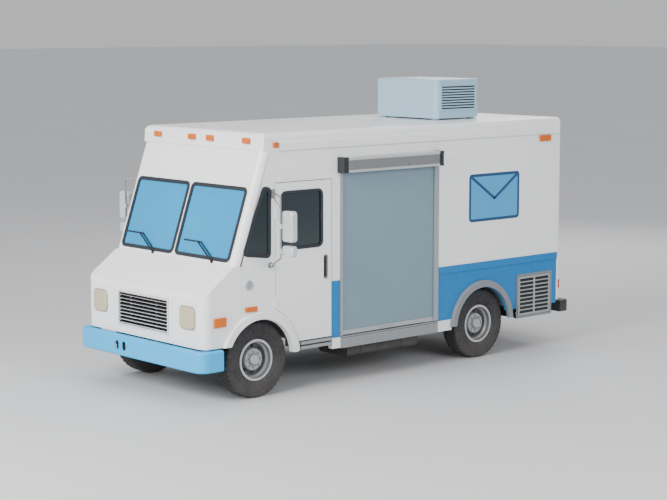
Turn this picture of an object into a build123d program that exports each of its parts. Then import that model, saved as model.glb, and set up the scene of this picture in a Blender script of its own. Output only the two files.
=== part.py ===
from build123d import *

import os
from math import asin, atan, atan2, cos, degrees, hypot, radians, sin, sqrt

# Walk-in delivery van: a box body on a ladder frame, millimetres.
# +Z is up and the nose points to -Y, so +X is the driver's side. The origin is on the
# ground, under the middle of the overall box. Every sub-part is a separate node.

os.makedirs("parts", exist_ok=True)

# ---------------------------------------------------------------- overall sizes
overall_length = 5790.0  # face of the front bumper to back of the rear bumper
body_half_width = 1050.0
mirror_half_width = 1535.0
wheelbase = 3378.0
front_overhang = 820.0  # front axle to face of the front bumper
tyre_radius = 403.0
tyre_width = 235.0

front_y = -overall_length / 2
rear_y = overall_length / 2
axle_f = front_y + front_overhang  # y of the front axle
axle_r = axle_f + wheelbase  # y of the rear axle
axle_z = tyre_radius

# ---------------------------------------------------------------- clearances
seam = 2.0  # between two fixed panels
door_gap = 4.0  # round a door or lid
running = 0.05  # radial clearance of a pin or shaft in its bore
free_gap = 0.5  # between pieces that move past each other

# ---------------------------------------------------------------- heights
sill_z = 393.0
door_foot_z = 547.0
floor_z = 600.0
floor_t = 30.0
belt_z = 1160.0
cowl_top_z = 1400.0
door_head_z = 2262.0
wall_top_z = 2588.0
roof_z = 2785.0

# ---------------------------------------------------------------- walls
wall_t = 25.0
cowl_t = 20.0
door_t = 32.0
glass_t = 5.0

# ---------------------------------------------------------------- stations along Y
nose_y = axle_f - 735.0
cowl_rear_y = axle_f - 228.0
door_front_y = axle_f + 224.0
door_rear_y = axle_f + 1018.0
post_rear_y = axle_f + 1138.0  # back of the post behind the cab door
hatch_rear_y = axle_f + 2575.0  # back of the roller shutter opening
panel_front_y = axle_f + 2650.0  # front of the rear side panel
rear_bumper_depth = 165.0
bumper_t = 6.0
bumper_gap = 75.0  # rear bumper stands this far off the body
body_rear_y = rear_y - rear_bumper_depth - bumper_gap
portal_t = 30.0
panel_rear_y = body_rear_y - portal_t - seam
cap_rear_y = axle_f + 273.0

half = body_half_width


# ---------------------------------------------------------------- helpers
def block(xs, ys, zs, mode=Mode.ADD):
    """Box that fills three (low, high) ranges."""
    spans = (xs, ys, zs)
    with Locations(tuple((low + high) / 2 for low, high in spans)):
        Box(*(abs(high - low) for low, high in spans), mode=mode)


def rod(start, end, radius, mode=Mode.ADD):
    """Cylinder from one point to another."""
    axis = Vector(*end) - Vector(*start)
    plane = Plane(origin=start, z_dir=axis)
    with Locations(plane):
        Cylinder(radius, axis.length, align=(Align.CENTER, Align.CENTER, Align.MIN), mode=mode)


def side_face(x, points):
    """Flat outline in Y and Z, on the plane at x."""
    with BuildSketch(Plane.YZ.offset(x)) as outline:
        with BuildLine():
            Polyline(*points, close=True)
        make_face()
    return outline.sketch


def side_rect(x, ys, zs, radius=0.0):
    """Rectangle in Y and Z on the plane at x, with round corners."""
    width, height = ys[1] - ys[0], zs[1] - zs[0]
    with BuildSketch(Plane.YZ.offset(x)) as outline:
        with Locations(((ys[0] + ys[1]) / 2, (zs[0] + zs[1]) / 2)):
            if radius > 0:
                RectangleRounded(width, height, min(radius, 0.49 * min(width, height)))
            else:
                Rectangle(width, height)
    return outline.sketch


def front_rect(y, xs, zs, radius):
    """Rectangle in X and Z on the plane at y, with round corners."""
    width, height = xs[1] - xs[0], zs[1] - zs[0]
    with BuildSketch(Plane.XZ.offset(-y)) as outline:
        with Locations(((xs[0] + xs[1]) / 2, (zs[0] + zs[1]) / 2)):
            RectangleRounded(width, height, min(radius, 0.49 * min(width, height)))
    return outline.sketch


# ================================================================ wheels and tyres
wheel_x = 905.0  # middle plane of each tyre
bead_radius = 203.5
bead_half = 83.0
tyre_wall = 14.0
rim_t = 6.0
rim_seat_radius = bead_radius - free_gap
flange_radius = 222.0
well_radius = 178.0
disc_t = 8.0
disc_front = 48.0  # raised face of the disc, outboard of the wheel's middle
drum_radius = 160.0
hub_radius = 60.0
spindle_radius = 28.0
stud_circle = 90.0
stud_count = 8
hand_hole_count = 8
hand_hole_circle = 146.0


def wheel_plane(side, y):
    """Axial X outwards, radial Z upwards, at the middle of a wheel."""
    return Plane(origin=(side * wheel_x, y, axle_z), x_dir=(side, 0, 0), z_dir=(0, -side, 0))


def tyre_section(plane):
    """Half section of a tyre casing, open towards the rim."""
    half_width = tyre_width / 2
    inner_half = half_width - tyre_wall
    mid = (bead_radius + tyre_radius) / 2
    shoulder = tyre_radius - 14
    with BuildSketch(plane) as section:
        with BuildLine() as line:
            Polyline((0, tyre_radius), (half_width - 26, tyre_radius))
            ThreePointArc(
                (half_width - 26, tyre_radius), (half_width - 14, tyre_radius - 5), (half_width - 9, shoulder)
            )
            ThreePointArc((half_width - 9, shoulder), (half_width, mid), (bead_half, flange_radius + 3))
            Line((bead_half, flange_radius + 3), (bead_half, bead_radius))
            Polyline(
                (bead_half, bead_radius), (bead_half - tyre_wall, bead_radius),
                (bead_half - tyre_wall, flange_radius + 3),
            )
            ThreePointArc(
                (bead_half - tyre_wall, flange_radius + 3), (inner_half, mid),
                (inner_half - 16, tyre_radius - 24)
            )
            Polyline((inner_half - 16, tyre_radius - 24), (0, tyre_radius - 20), (0, tyre_radius))
        make_face()
        mirror(about=Plane.YZ)
    return section.sketch


def rim_section(plane):
    """Drop-centre rim with the dished disc that carries it."""
    lip = bead_half + 1
    inner_well = well_radius - rim_t
    disc_root = 165.0
    with BuildSketch(plane) as section:
        with BuildLine():
            Polyline(
                (lip, flange_radius), (lip + 8, flange_radius), (lip + 8, rim_seat_radius - rim_t),
                (50, rim_seat_radius - rim_t - 4), (30, inner_well), (-30, inner_well),
                (-50, rim_seat_radius - rim_t - 4), (-lip - 8, rim_seat_radius - rim_t),
                (-lip - 8, flange_radius), (-lip, flange_radius), (-lip, rim_seat_radius),
                (-45, rim_seat_radius), (-28, well_radius), (28, well_radius),
                (45, rim_seat_radius), (lip, rim_seat_radius), close=True,
            )
        make_face()
        with BuildLine():
            Polyline(
                (-12, inner_well + 1), (-4, inner_well + 1), (6, disc_root - 20), (disc_front - 14, 122),
                (disc_front, 112), (disc_front, hub_radius + seam), (disc_front - disc_t, hub_radius + seam),
                (disc_front - disc_t, 108), (disc_front - 24, 116), (-4, disc_root - 20), close=True,
            )
        make_face()
    return section.sketch


tyres = {}
wheels = {}
for corner, side, station in (
    ("front_left", 1, axle_f), ("front_right", -1, axle_f), ("rear_left", 1, axle_r),
    ("rear_right", -1, axle_r)
):
    hub_axis = Axis((side * wheel_x, station, axle_z), (1, 0, 0))
    plane = wheel_plane(side, station)

    with BuildPart() as tyre:
        revolve(tyre_section(plane), axis=hub_axis)
    tyres[corner] = tyre

    across = Plane(origin=(side * wheel_x, station, axle_z), x_dir=(0, side, 0), z_dir=(side, 0, 0))
    with BuildPart() as wheel:
        revolve(rim_section(plane), axis=hub_axis)
        with BuildSketch(across.offset(-30)) as holes:
            with PolarLocations(hand_hole_circle, hand_hole_count):
                SlotOverall(46, 26, rotation=90)
        extrude(holes.sketch, amount=90, mode=Mode.SUBTRACT)
        # Hub with its cap, and the brake drum behind the disc.
        with BuildSketch(plane) as hub:
            with BuildLine():
                Polyline(
                    (-70, spindle_radius + running), (-70, hub_radius), (disc_front + 18, hub_radius),
                    (disc_front + 34, hub_radius - 14), (disc_front + 34, 0), (disc_front + 4, 0),
                    (disc_front + 4, spindle_radius + running), close=True,
                )
            make_face()
        revolve(hub.sketch, axis=hub_axis)
        with BuildSketch(plane) as drum:
            with BuildLine():
                Polyline(
                    (-105, drum_radius), (-22, drum_radius), (-22, hub_radius + seam),
                    (-30, hub_radius + seam), (-30, drum_radius - 8), (-105, drum_radius - 8), close=True,
                )
            make_face()
        revolve(drum.sketch, axis=hub_axis)
        with BuildSketch(across.offset(disc_front)) as nuts:
            with PolarLocations(stud_circle, stud_count):
                RegularPolygon(11, 6)
        extrude(nuts.sketch, amount=16)
    wheels[corner] = wheel

# ================================================================ front axle and steering
kingpin_x = wheel_x - 130.0
kingpin_radius = 14.0
knuckle_radius = 30.0
beam_end_half = 34.0  # half height of the beam's eye
yoke_t = 26.0
beam_z = axle_z - 60.0

knuckles = {}
for name, side in (("left", 1), ("right", -1)):
    x = side * kingpin_x
    with BuildPart() as knuckle:
        rod(
            (x, axle_f, axle_z - beam_end_half - free_gap - yoke_t),
            (x, axle_f, axle_z - beam_end_half - free_gap), knuckle_radius,
        )
        rod(
            (x, axle_f, axle_z + beam_end_half + free_gap),
            (x, axle_f, axle_z + beam_end_half + free_gap + yoke_t), knuckle_radius,
        )
        rod(
            (x, axle_f, axle_z - beam_end_half - yoke_t), (x, axle_f, axle_z + beam_end_half + yoke_t),
            kingpin_radius,
        )
        block(
            sorted((side * (kingpin_x + knuckle_radius + free_gap), side * (kingpin_x + knuckle_radius + 22))),
            (axle_f - 34, axle_f + 34),
            (axle_z - beam_end_half - free_gap - yoke_t, axle_z + beam_end_half + free_gap + yoke_t),
        )
        for low in (axle_z - beam_end_half - free_gap - yoke_t, axle_z + beam_end_half + free_gap):
            block(
                sorted((x, side * (kingpin_x + knuckle_radius + 22))), (axle_f - 22, axle_f + 22),
                (low, low + yoke_t)
            )
        rod(
            (side * (kingpin_x + knuckle_radius + 20), axle_f, axle_z),
            (side * (wheel_x + disc_front), axle_f, axle_z),
            spindle_radius,
        )
        # Steering arm that runs back from the lower yoke.
        block(
            (x - 12, x + 12), (axle_f, axle_f + 150),
            (axle_z - beam_end_half - free_gap - yoke_t, axle_z - beam_end_half - free_gap - 8),
        )
    knuckles[name] = knuckle

# ================================================================ springs and axles
rail_x = 430.0  # outer face of each frame rail
rail_z = (470.0, floor_z - floor_t)
rail_width = 60.0
rail_t = 6.0
leaf_width = 60.0
spring_t = 9.0
leaf_count = 4
spring_x = rail_x + 12 + leaf_width / 2
spring_seat_z = axle_z + 52.0
spring_rise = 30.0
front_spring_half = 380.0
rear_spring_half = 520.0
front_rail_y = nose_y + 60.0
rear_rail_y = body_rear_y - 40.0


def leaf_pack(x, y, half_length):
    """Leaves stacked under each other, each shorter than the one above it, and U-bolt plate."""
    radius = (half_length**2 + spring_rise**2) / (2 * spring_rise)
    centre_z = spring_seat_z + spring_t * leaf_count + radius - spring_t
    for n in range(leaf_count):
        outer = radius + n * spring_t
        reach = half_length * (1 - 0.22 * n)
        low, high = outer, outer - spring_t
        angle_low, angle_high = asin(reach / low), asin(reach / high)
        with BuildSketch(Plane.YZ.offset(x - leaf_width / 2)) as leaf:
            with BuildLine():
                ThreePointArc(
                    (y - reach, centre_z - low * cos(angle_low)), (y, centre_z - low),
                    (y + reach, centre_z - low * cos(angle_low))
                )
                ThreePointArc(
                    (y - reach, centre_z - high * cos(angle_high)), (y, centre_z - high),
                    (y + reach, centre_z - high * cos(angle_high))
                )
                Line(
                    (y - reach, centre_z - low * cos(angle_low)),
                    (y - reach, centre_z - high * cos(angle_high)),
                )
                Line(
                    (y + reach, centre_z - low * cos(angle_low)),
                    (y + reach, centre_z - high * cos(angle_high)),
                )
            make_face()
        extrude(leaf.sketch, amount=leaf_width)


hanger_t = 12.0


def spring_hangers(x_sign, y, half_length):
    """Brackets from the rail's side to both ends of a leaf pack."""
    top = spring_seat_z + spring_t * leaf_count + spring_rise
    for end in (-1, 1):
        ys = sorted((y + end * (half_length + 1), y + end * (half_length + 1 + hanger_t)))
        xs = sorted((x_sign * (rail_x + 1), x_sign * (spring_x + leaf_width / 2)))
        block(xs, ys, (top - 50, top + 20))


with BuildPart() as front_axle:
    # I-beam that drops between the kingpins.
    for flange_low in (beam_z - 30, beam_z + 18):
        block((-kingpin_x + 70, kingpin_x - 70), (axle_f - 26, axle_f + 26), (flange_low, flange_low + 12))
    block((-kingpin_x + 70, kingpin_x - 70), (axle_f - 6, axle_f + 6), (beam_z - 30, beam_z + 30))
    for side in (1, -1):
        x = side * kingpin_x
        rod((x, axle_f, axle_z - beam_end_half), (x, axle_f, axle_z + beam_end_half), knuckle_radius - 4)
        stem = side * (kingpin_x - knuckle_radius - 4)
        block(sorted((stem, side * (kingpin_x - 90))), (axle_f - 22, axle_f + 22), (beam_z - 30, axle_z + 26))
        block(
            sorted((stem - side, x)), (axle_f - 18, axle_f + 18),
            (axle_z - beam_end_half + 2, axle_z + beam_end_half - 2),
        )
        rod(
            (x, axle_f, axle_z - beam_end_half), (x, axle_f, axle_z + beam_end_half),
            kingpin_radius + running, mode=Mode.SUBTRACT,
        )
    for side in (1, -1):
        block(
            sorted((side * (spring_x - leaf_width / 2), side * (spring_x + leaf_width / 2))),
            (axle_f - 60, axle_f + 60), (beam_z + 30, spring_seat_z - spring_t),
        )

housing_radius = 48.0
bowl_radius = 120.0
with BuildPart() as rear_axle:
    axle_end = wheel_x - 72.0
    rod((-axle_end, axle_r, axle_z), (axle_end, axle_r, axle_z), housing_radius)
    with Locations((0, axle_r, axle_z)):
        Sphere(bowl_radius)
        Cylinder(bowl_radius + 14, 24, rotation=(90, 0, 0))
    for side in (1, -1):
        rod(
            (side * axle_end, axle_r, axle_z), (side * (wheel_x + disc_front), axle_r, axle_z),
            spindle_radius,
        )
        block(
            sorted((side * (spring_x - leaf_width / 2), side * (spring_x + leaf_width / 2))),
            (axle_r - 60, axle_r + 60), (axle_z, spring_seat_z - spring_t),
        )
    rod((0, axle_r - bowl_radius - 40, axle_z), (0, axle_r, axle_z), 42)

with BuildPart() as leaf_springs:
    for side in (1, -1):
        for y, half_length in ((axle_f, front_spring_half), (axle_r, rear_spring_half)):
            leaf_pack(side * spring_x, y, half_length)
            spring_hangers(side, y, half_length)

# ================================================================ ladder frame
cross_stations = (axle_f - 560, axle_f + 620, axle_f + 1500, axle_r - 640, axle_r + 760)
with BuildPart() as ladder_frame:
    for side in (1, -1):
        outer, inner = side * rail_x, side * (rail_x - rail_width)
        web = sorted((outer, side * (rail_x - rail_t)))
        block(web, (front_rail_y, rear_rail_y), rail_z)
        for low in (rail_z[0], rail_z[1] - rail_t):
            block(sorted((outer, inner)), (front_rail_y, rear_rail_y), (low, low + rail_t))
    # Horns that carry the bumpers.
    for side in (1, -1):
        horn = sorted((side * (rail_x - 50), side * rail_x))
        block(horn, (front_y + bumper_t, front_rail_y), (480, 560))
        block(horn, (rear_rail_y, rear_y - rear_bumper_depth), (rail_z[0], 520))
    for y in cross_stations:
        reach = rail_x - rail_t
        block((-reach, reach), (y, y + 60), (rail_z[0] + rail_t + 12, rail_z[1] - rail_t - 12))

# ================================================================ engine, gearbox and radiator
engine_half = 210.0
gearbox_z = 440.0
gearbox_radius = 100.0
gearbox_rear_y = axle_f + 600.0
with BuildPart() as engine:
    block((-engine_half, engine_half), (axle_f - 420, axle_f + 250), (560, 760))
    block((-engine_half + 30, engine_half - 30), (axle_f - 400, axle_f + 230), (760, 850))
    block((-150, 150), (axle_f - 60, axle_f + 240), (420, 560))
    # Gearbox behind the block, and the mounts that carry both on the rails.
    block((-90, 90), (axle_f + 240, axle_f + 260), (gearbox_z - 60, 620))
    rod((0, axle_f + 255, gearbox_z), (0, gearbox_rear_y, gearbox_z), gearbox_radius)
    for side in (1, -1):
        block(
            sorted((side * (engine_half - 10), side * (rail_x - rail_t))), (axle_f - 100, axle_f - 40),
            (500, rail_z[1] - rail_t - 1),
        )
    rod((0, axle_f - 421, 660), (0, axle_f - 470, 660), 150)

radiator_y = nose_y + 95.0
with BuildPart() as radiator:
    block((-340, 340), (radiator_y, radiator_y + 55), (640, 1060))
    block((-rail_x, rail_x), (radiator_y - 5, radiator_y + 60), (rail_z[1], 640))
    block((-350, 350), (radiator_y - 5, radiator_y + 60), (1060, 1100))
    for side in (1, -1):
        block(sorted((side * 340, side * 356)), (radiator_y - 5, radiator_y + 60), (640, 1060))

# ================================================================ exhaust, fuel tank and propeller shaft
with BuildPart() as exhaust:
    pipe_x, pipe_z = -300.0, 430.0
    muffler_y = axle_f + 1800.0
    rod((pipe_x + 50, axle_f + 100, 530), (pipe_x, axle_f + 100, pipe_z), 26)
    with Locations((pipe_x, axle_f + 100, pipe_z)):
        Sphere(26)
    rod((pipe_x, axle_f + 100, pipe_z), (pipe_x, muffler_y - 300, pipe_z), 26)
    with Locations((pipe_x, muffler_y, pipe_z - 36)):
        Cylinder(85, 600, rotation=(90, 0, 0))
    rod((pipe_x, muffler_y + 300, pipe_z), (pipe_x, muffler_y + 500, pipe_z), 26)
    rod((pipe_x, muffler_y + 500, pipe_z), (pipe_x - 480, muffler_y + 500, pipe_z - 60), 26)

tank_y = (axle_f + 1330.0, axle_f + 2420.0)
tank_sheet = 3.0
sill_depth = 50.0
tank_x = (rail_x + 50.0, half - sill_depth - 40.0)
tank_middle = (tank_x[0] + tank_x[1]) / 2
tank_wide = tank_x[1] - tank_x[0]
with BuildPart() as fuel_tank:
    with BuildSketch(Plane.XZ.offset(-tank_y[0])) as tank_outline:
        with Locations((tank_middle, 395)):
            RectangleRounded(tank_wide, 270, 45)
    extrude(tank_outline.sketch, amount=-(tank_y[1] - tank_y[0]))
    with BuildSketch(Plane.XZ.offset(-(tank_y[0] + tank_sheet))) as tank_hollow:
        with Locations((tank_middle, 395)):
            RectangleRounded(tank_wide - 2 * tank_sheet, 270 - 2 * tank_sheet, 45 - tank_sheet)
    extrude(tank_hollow.sketch, amount=-(tank_y[1] - tank_y[0] - 2 * tank_sheet), mode=Mode.SUBTRACT)
    # Steel straps round the tank, each a band that touches it.
    for y in (tank_y[0] + 200, tank_y[1] - 260):
        with BuildSketch(Plane.XZ.offset(-y)) as strap:
            with Locations((tank_middle, 395)):
                RectangleRounded(tank_wide + 8, 278, 49)
                RectangleRounded(tank_wide, 270, 45, mode=Mode.SUBTRACT)
        extrude(strap.sketch, amount=-60)
        block((rail_x + 1, rail_x + 46), (y, y + 60), (480, 528))

shaft_radius = 35.0
with BuildPart() as prop_shaft:
    shaft_start = (0, gearbox_rear_y + free_gap, gearbox_z)
    shaft_end = (0, axle_r - bowl_radius - 40 - 20, axle_z)
    rod(shaft_start, shaft_end, shaft_radius)

# ================================================================ openings shared by walls and doors
arch_radius = 440.0  # wheel cut-outs in the skirt
flare_radius = 525.0
flare_depth = 40.0
door_arc_radius = 570.0  # front lower corner of the cab door, round the wheel
rocker_z = 445.0
hatch_z = (530.0, 2420.0)  # roller shutter opening in the wall
case_z = (2320.0, 2490.0)
case_y = (axle_f + 1100.0, axle_f + 2620.0)
case_depth = 110.0
vent_y = (axle_f + 3980.0, axle_f + 4610.0)
vent_z = (396.0, 930.0)
skirt_low_z = 520.0
moulding_t = 12.0

# The front screen leans back by this much for each millimetre of height.
screen_lean = 0.345
screen_low_z = 1420.0
screen_top_z = 2600.0
screen_foot_y = axle_f - 343.0
screen_angle = degrees(atan(screen_lean))
pillar_depth = 87.0
screen_corner = 70.0


def screen_y(z):
    """Where the outer face of the screen frame stands at height z."""
    return screen_foot_y + (z - screen_low_z) * screen_lean


# ================================================================ floor and wheel housings
housing_t = 6.0
firewall_y = cowl_rear_y + seam
tunnel_half = 275.0
tunnel_y = axle_f + 300.0
tunnel_top_z = 905.0
step_y = (axle_f + 590.0, axle_f + 1000.0)
inside = half - door_t - seam  # half width between the doors
step_x = (770.0, inside - 4.0)
step_z = 450.0
bay_y = (vent_y[0] + 16, vent_y[1] - 16)
bay_x = (560.0, 1022.0)


def wheel_housing(side, y, radius, inner_x):
    """Arched cover over a tyre, closed on its inner side."""
    xs = (inner_x, inside)
    start = side * xs[0]
    rod((start, y, axle_z), (side * xs[1], y, axle_z), radius)
    rod(
        (side * (xs[0] + housing_t), y, axle_z), (side * (xs[1] + 1), y, axle_z), radius - housing_t,
        mode=Mode.SUBTRACT,
    )


with BuildPart() as floor:
    for side in (1, -1):
        wheel_housing(side, axle_f, 490, 540)
        wheel_housing(side, axle_r, 462, 762)
    # Only the part of each housing above the floor is sheet metal.
    block((-half, half), (front_y, rear_y), (-200, floor_z - floor_t), mode=Mode.SUBTRACT)
    with BuildSketch(Plane.XY.offset(floor_z - floor_t)) as plate:
        with Locations((0, (firewall_y + panel_rear_y) / 2)):
            Rectangle(2 * inside, panel_rear_y - firewall_y)
        # Engine tunnel, wheel cut-outs, step wells and the vent bay.
        with Locations((0, (firewall_y + tunnel_y) / 2)):
            Rectangle(
                2 * tunnel_half - 2 * housing_t, tunnel_y - firewall_y - 2 * housing_t + 60,
                mode=Mode.SUBTRACT,
            )
        for side in (1, -1):
            for y, radius, inner_x in ((axle_f, 490, 540), (axle_r, 462, 762)):
                reach = sqrt((radius - housing_t) ** 2 - (floor_z - axle_z) ** 2)
                with Locations((side * (inner_x + housing_t + half) / 2, y)):
                    Rectangle(half - inner_x - housing_t, 2 * reach, mode=Mode.SUBTRACT)
            with Locations((side * (step_x[0] + half) / 2, (step_y[0] + step_y[1]) / 2)):
                Rectangle(half - step_x[0], step_y[1] - step_y[0], mode=Mode.SUBTRACT)
        with Locations(((bay_x[0] + half) / 2, (bay_y[0] + bay_y[1]) / 2)):
            Rectangle(half - bay_x[0] + 2 * seam, bay_y[1] - bay_y[0] + 2 * seam, mode=Mode.SUBTRACT)
    extrude(plate.sketch, amount=floor_t)
    # Step wells inside the cab doors.
    for side in (1, -1):
        block(sorted((side * step_x[0], side * step_x[1])), step_y, (step_z, step_z + housing_t))
        block(sorted((side * step_x[0], side * (step_x[0] + housing_t))), step_y, (step_z, floor_z))
        for y in step_y:
            low = y if y == step_y[0] else y - housing_t
            block(sorted((side * step_x[0], side * step_x[1])), (low, low + housing_t), (step_z, floor_z))
    # Engine cover and the bulkhead ahead of the cab.
    block((-tunnel_half, tunnel_half), (firewall_y, tunnel_y), (floor_z - 1, tunnel_top_z))
    block(
        (-tunnel_half + housing_t, tunnel_half - housing_t), (front_y, tunnel_y - housing_t),
        (floor_z - floor_t - 1, tunnel_top_z - housing_t), mode=Mode.SUBTRACT,
    )
    block((-inside, -tunnel_half + 1), (firewall_y, firewall_y + 4), (floor_z, screen_low_z - 30))
    block((tunnel_half - 1, inside), (firewall_y, firewall_y + 4), (floor_z, screen_low_z - 30))
    block((-tunnel_half, tunnel_half), (firewall_y, firewall_y + 4), (tunnel_top_z - 1, screen_low_z - 30))
    for side in (1, -1):
        rod(
            (side * (540 + housing_t), axle_f, axle_z), (side * half, axle_f, axle_z), 490 - housing_t,
            mode=Mode.SUBTRACT,
        )

# ================================================================ nose and grille
nose_low_z = floor_z
nose_crease_z = 1134.0
nose_corner = 100.0
crease_radius = 90.0
grille_x = 460.0
grille_z = (680.0, 1068.0)
lamp_x = 785.0
lamp_z = 910.0
lamp_size = 250.0
groove = 5.0


def nose_block(inset, beyond):
    """Solid of the nose, its front, sides and hood brought in by inset."""
    with BuildPart() as solid:
        with BuildSketch(Plane.YZ) as side_view:
            with BuildLine():
                Polyline(
                    (nose_y + inset, nose_low_z - beyond), (nose_y + inset, nose_crease_z - 0.45 * inset),
                    (screen_foot_y + 0.6 * inset, screen_low_z - seam - inset),
                    (cowl_rear_y + beyond, screen_low_z - seam - inset),
                    (cowl_rear_y + beyond, nose_low_z - beyond), close=True,
                )
            make_face()
            fillet(side_view.vertices().group_by(Axis.X)[0].sort_by(Axis.Y)[-1], crease_radius - inset)
        extrude(side_view.sketch, amount=-(half - inset))
        # Round corner of the right half, which the left half mirrors.
        with BuildSketch(Plane.XY) as top_view:
            with Locations((-(half - inset) / 2, (nose_y + inset + cowl_rear_y + 400) / 2)):
                Rectangle(half - inset, cowl_rear_y + 400 - nose_y - inset)
            fillet(top_view.vertices().group_by(Axis.Y)[0].sort_by(Axis.X)[0], nose_corner - inset)
        extrude(top_view.sketch, amount=2000, mode=Mode.INTERSECT)
        mirror(about=Plane.YZ)
    return solid.part


with BuildPart() as nose:
    add(nose_block(0, 0))
    add(nose_block(cowl_t, 40), mode=Mode.SUBTRACT)
    for side in (1, -1):
        rod(
            (side * 400, axle_f, axle_z), (side * (half + 50), axle_f, axle_z), arch_radius,
            mode=Mode.SUBTRACT,
        )
    grille_face = front_rect(nose_y - 10, (-grille_x, grille_x), grille_z, 14)
    extrude(grille_face, amount=-60, mode=Mode.SUBTRACT)
    for side in (1, -1):
        lamp_face = front_rect(
            nose_y - 10, (side * lamp_x - lamp_size / 2, side * lamp_x + lamp_size / 2),
            (lamp_z - lamp_size / 2 + 8, lamp_z + lamp_size / 2 - 8), 60,
        )
        extrude(lamp_face, amount=-60, mode=Mode.SUBTRACT)
        # Seam of the centre panel that holds the grille.
        block(
            (side * 524 - groove / 2, side * 524 + groove / 2), (nose_y - 1, nose_y + 5),
            (nose_low_z, 1092), mode=Mode.SUBTRACT,
        )
    block((-524, 524), (nose_y - 1, nose_y + 5), (1087, 1092), mode=Mode.SUBTRACT)

bar_count = 9
bar_h = 20.0
with BuildPart() as grille:
    frame_face = front_rect(
        nose_y - 8, (-grille_x + seam, grille_x - seam), (grille_z[0] + seam, grille_z[1] - seam), 12
    )
    frame_hole = front_rect(
        nose_y - 8, (-grille_x + 22, grille_x - 22), (grille_z[0] + 22, grille_z[1] - 22), 6
    )
    extrude(frame_face, amount=-34)
    extrude(frame_hole, amount=-34, mode=Mode.SUBTRACT)
    pitch = (grille_z[1] - grille_z[0] - 44) / bar_count
    for n in range(bar_count):
        z = grille_z[0] + 22 + pitch * (n + 0.5)
        # Each louvre slopes down towards the front.
        bar = side_face(
            -grille_x + 20,
            [(nose_y - 4, z - bar_h / 2), (nose_y - 4, z + bar_h / 2 - 4), (nose_y + 20, z + bar_h / 2 + 4),
             (nose_y + 20, z + bar_h / 2), (nose_y, z - bar_h / 2)],
        )
        extrude(bar, amount=2 * grille_x - 40)
    for x in (-230, 230):
        block((x - 4, x + 4), (nose_y + 6, nose_y + 24), (grille_z[0] + 10, grille_z[1] - 10))

with BuildPart() as headlights:
    for side in (1, -1):
        lens = front_rect(
            nose_y - 14, (side * lamp_x - lamp_size / 2 + seam, side * lamp_x + lamp_size / 2 - seam),
            (lamp_z - lamp_size / 2 + 8 + seam, lamp_z + lamp_size / 2 - 8 - seam), 58,
        )
        extrude(lens, amount=-(14 + cowl_t + 25))
    fillet(headlights.faces().group_by(Axis.Y)[0].edges(), 10)

# ================================================================ bumpers
bumper_half = 1110.0
bumper_z = (365.0, 585.0)
bumper_wrap_y = axle_f - 520.0
bumper_corner = 120.0
hole_x = (-370.0, -243.0)


def bumper_block(inset, beyond, edge):
    """Wrap-round bar, brought in by inset, with its long edges rounded."""
    with BuildPart() as solid:
        with BuildSketch(Plane.XY.offset(bumper_z[0] + inset)) as plan:
            length = bumper_wrap_y + beyond - front_y - inset
            with Locations((0, front_y + inset + length / 2)):
                Rectangle(2 * (bumper_half - inset), length)
            fillet(plan.vertices().group_by(Axis.Y)[0], bumper_corner - inset)
        extrude(plan.sketch, amount=bumper_z[1] - bumper_z[0] - 2 * inset)
        rims = solid.edges().group_by(Axis.Z)[0] + solid.edges().group_by(Axis.Z)[-1]
        fillet([e for e in rims if e.center().Y < bumper_wrap_y + beyond - 5], edge)
    return solid.part


with BuildPart() as front_bumper:
    add(bumper_block(0, 0, 22))
    add(bumper_block(bumper_t, 40, 16), mode=Mode.SUBTRACT)
    # Only a narrow flange is left along the top and the bottom.
    block(
        (-bumper_half + bumper_corner, bumper_half - bumper_corner), (front_y + 90, bumper_wrap_y + 50),
        (bumper_z[0] - 1, bumper_z[1] + 1), mode=Mode.SUBTRACT,
    )
    for x in hole_x:
        hole = front_rect(front_y - 5, (x - 32, x + 32), (430, 530), 31)
        extrude(hole, amount=-40, mode=Mode.SUBTRACT)

rear_bumper_half = 1030.0
rear_bumper_z = (390.0, 530.0)
plate_bolt_spacing = 178.0
plate_bolt_radius = 3.5
plate_bolt_z = 440.0
with BuildPart() as rear_bumper:
    block((-rear_bumper_half, rear_bumper_half), (rear_y - rear_bumper_depth, rear_y), rear_bumper_z)
    fillet(rear_bumper.edges().filter_by(Axis.Z).group_by(Axis.Y)[-1], 60)
    fillet(rear_bumper.edges().group_by(Axis.Z)[-1], 8)
    block(
        (-rear_bumper_half + 60, rear_bumper_half - 60), (rear_y - rear_bumper_depth + 8, rear_y - 8),
        (rear_bumper_z[0] - 1, rear_bumper_z[1] - 8), mode=Mode.SUBTRACT,
    )
    with Locations(Plane(origin=(0, rear_y, plate_bolt_z), x_dir=(1, 0, 0), z_dir=(0, 1, 0))):
        with Locations((-plate_bolt_spacing / 2, 0), (plate_bolt_spacing / 2, 0)):
            Hole(plate_bolt_radius, depth=20)

# ================================================================ screen frame, glass and rubbers
rubber_lip = 18.0
rubber_in = 22.0
pane_x = (30.0, 950.0)
pane_z = (1475.0, 2210.0)
pane_corner = 50.0
frame_t = 25.0
screen_cos = cos(radians(screen_angle))
wiper_bore = 8.0


def screen_plane(x=0.0, lift=0.0):
    """Plane on the outer face of the screen frame: X across, Y up the screen, Z outwards."""
    plane = Plane(
        origin=(x, screen_foot_y, screen_low_z), x_dir=(1, 0, 0),
        z_dir=(0, -screen_cos, sin(radians(screen_angle))),
    )
    return plane.offset(lift)


def up_screen(z):
    """Distance up the screen's slope to reach height z."""
    return (z - screen_low_z) / screen_cos


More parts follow.
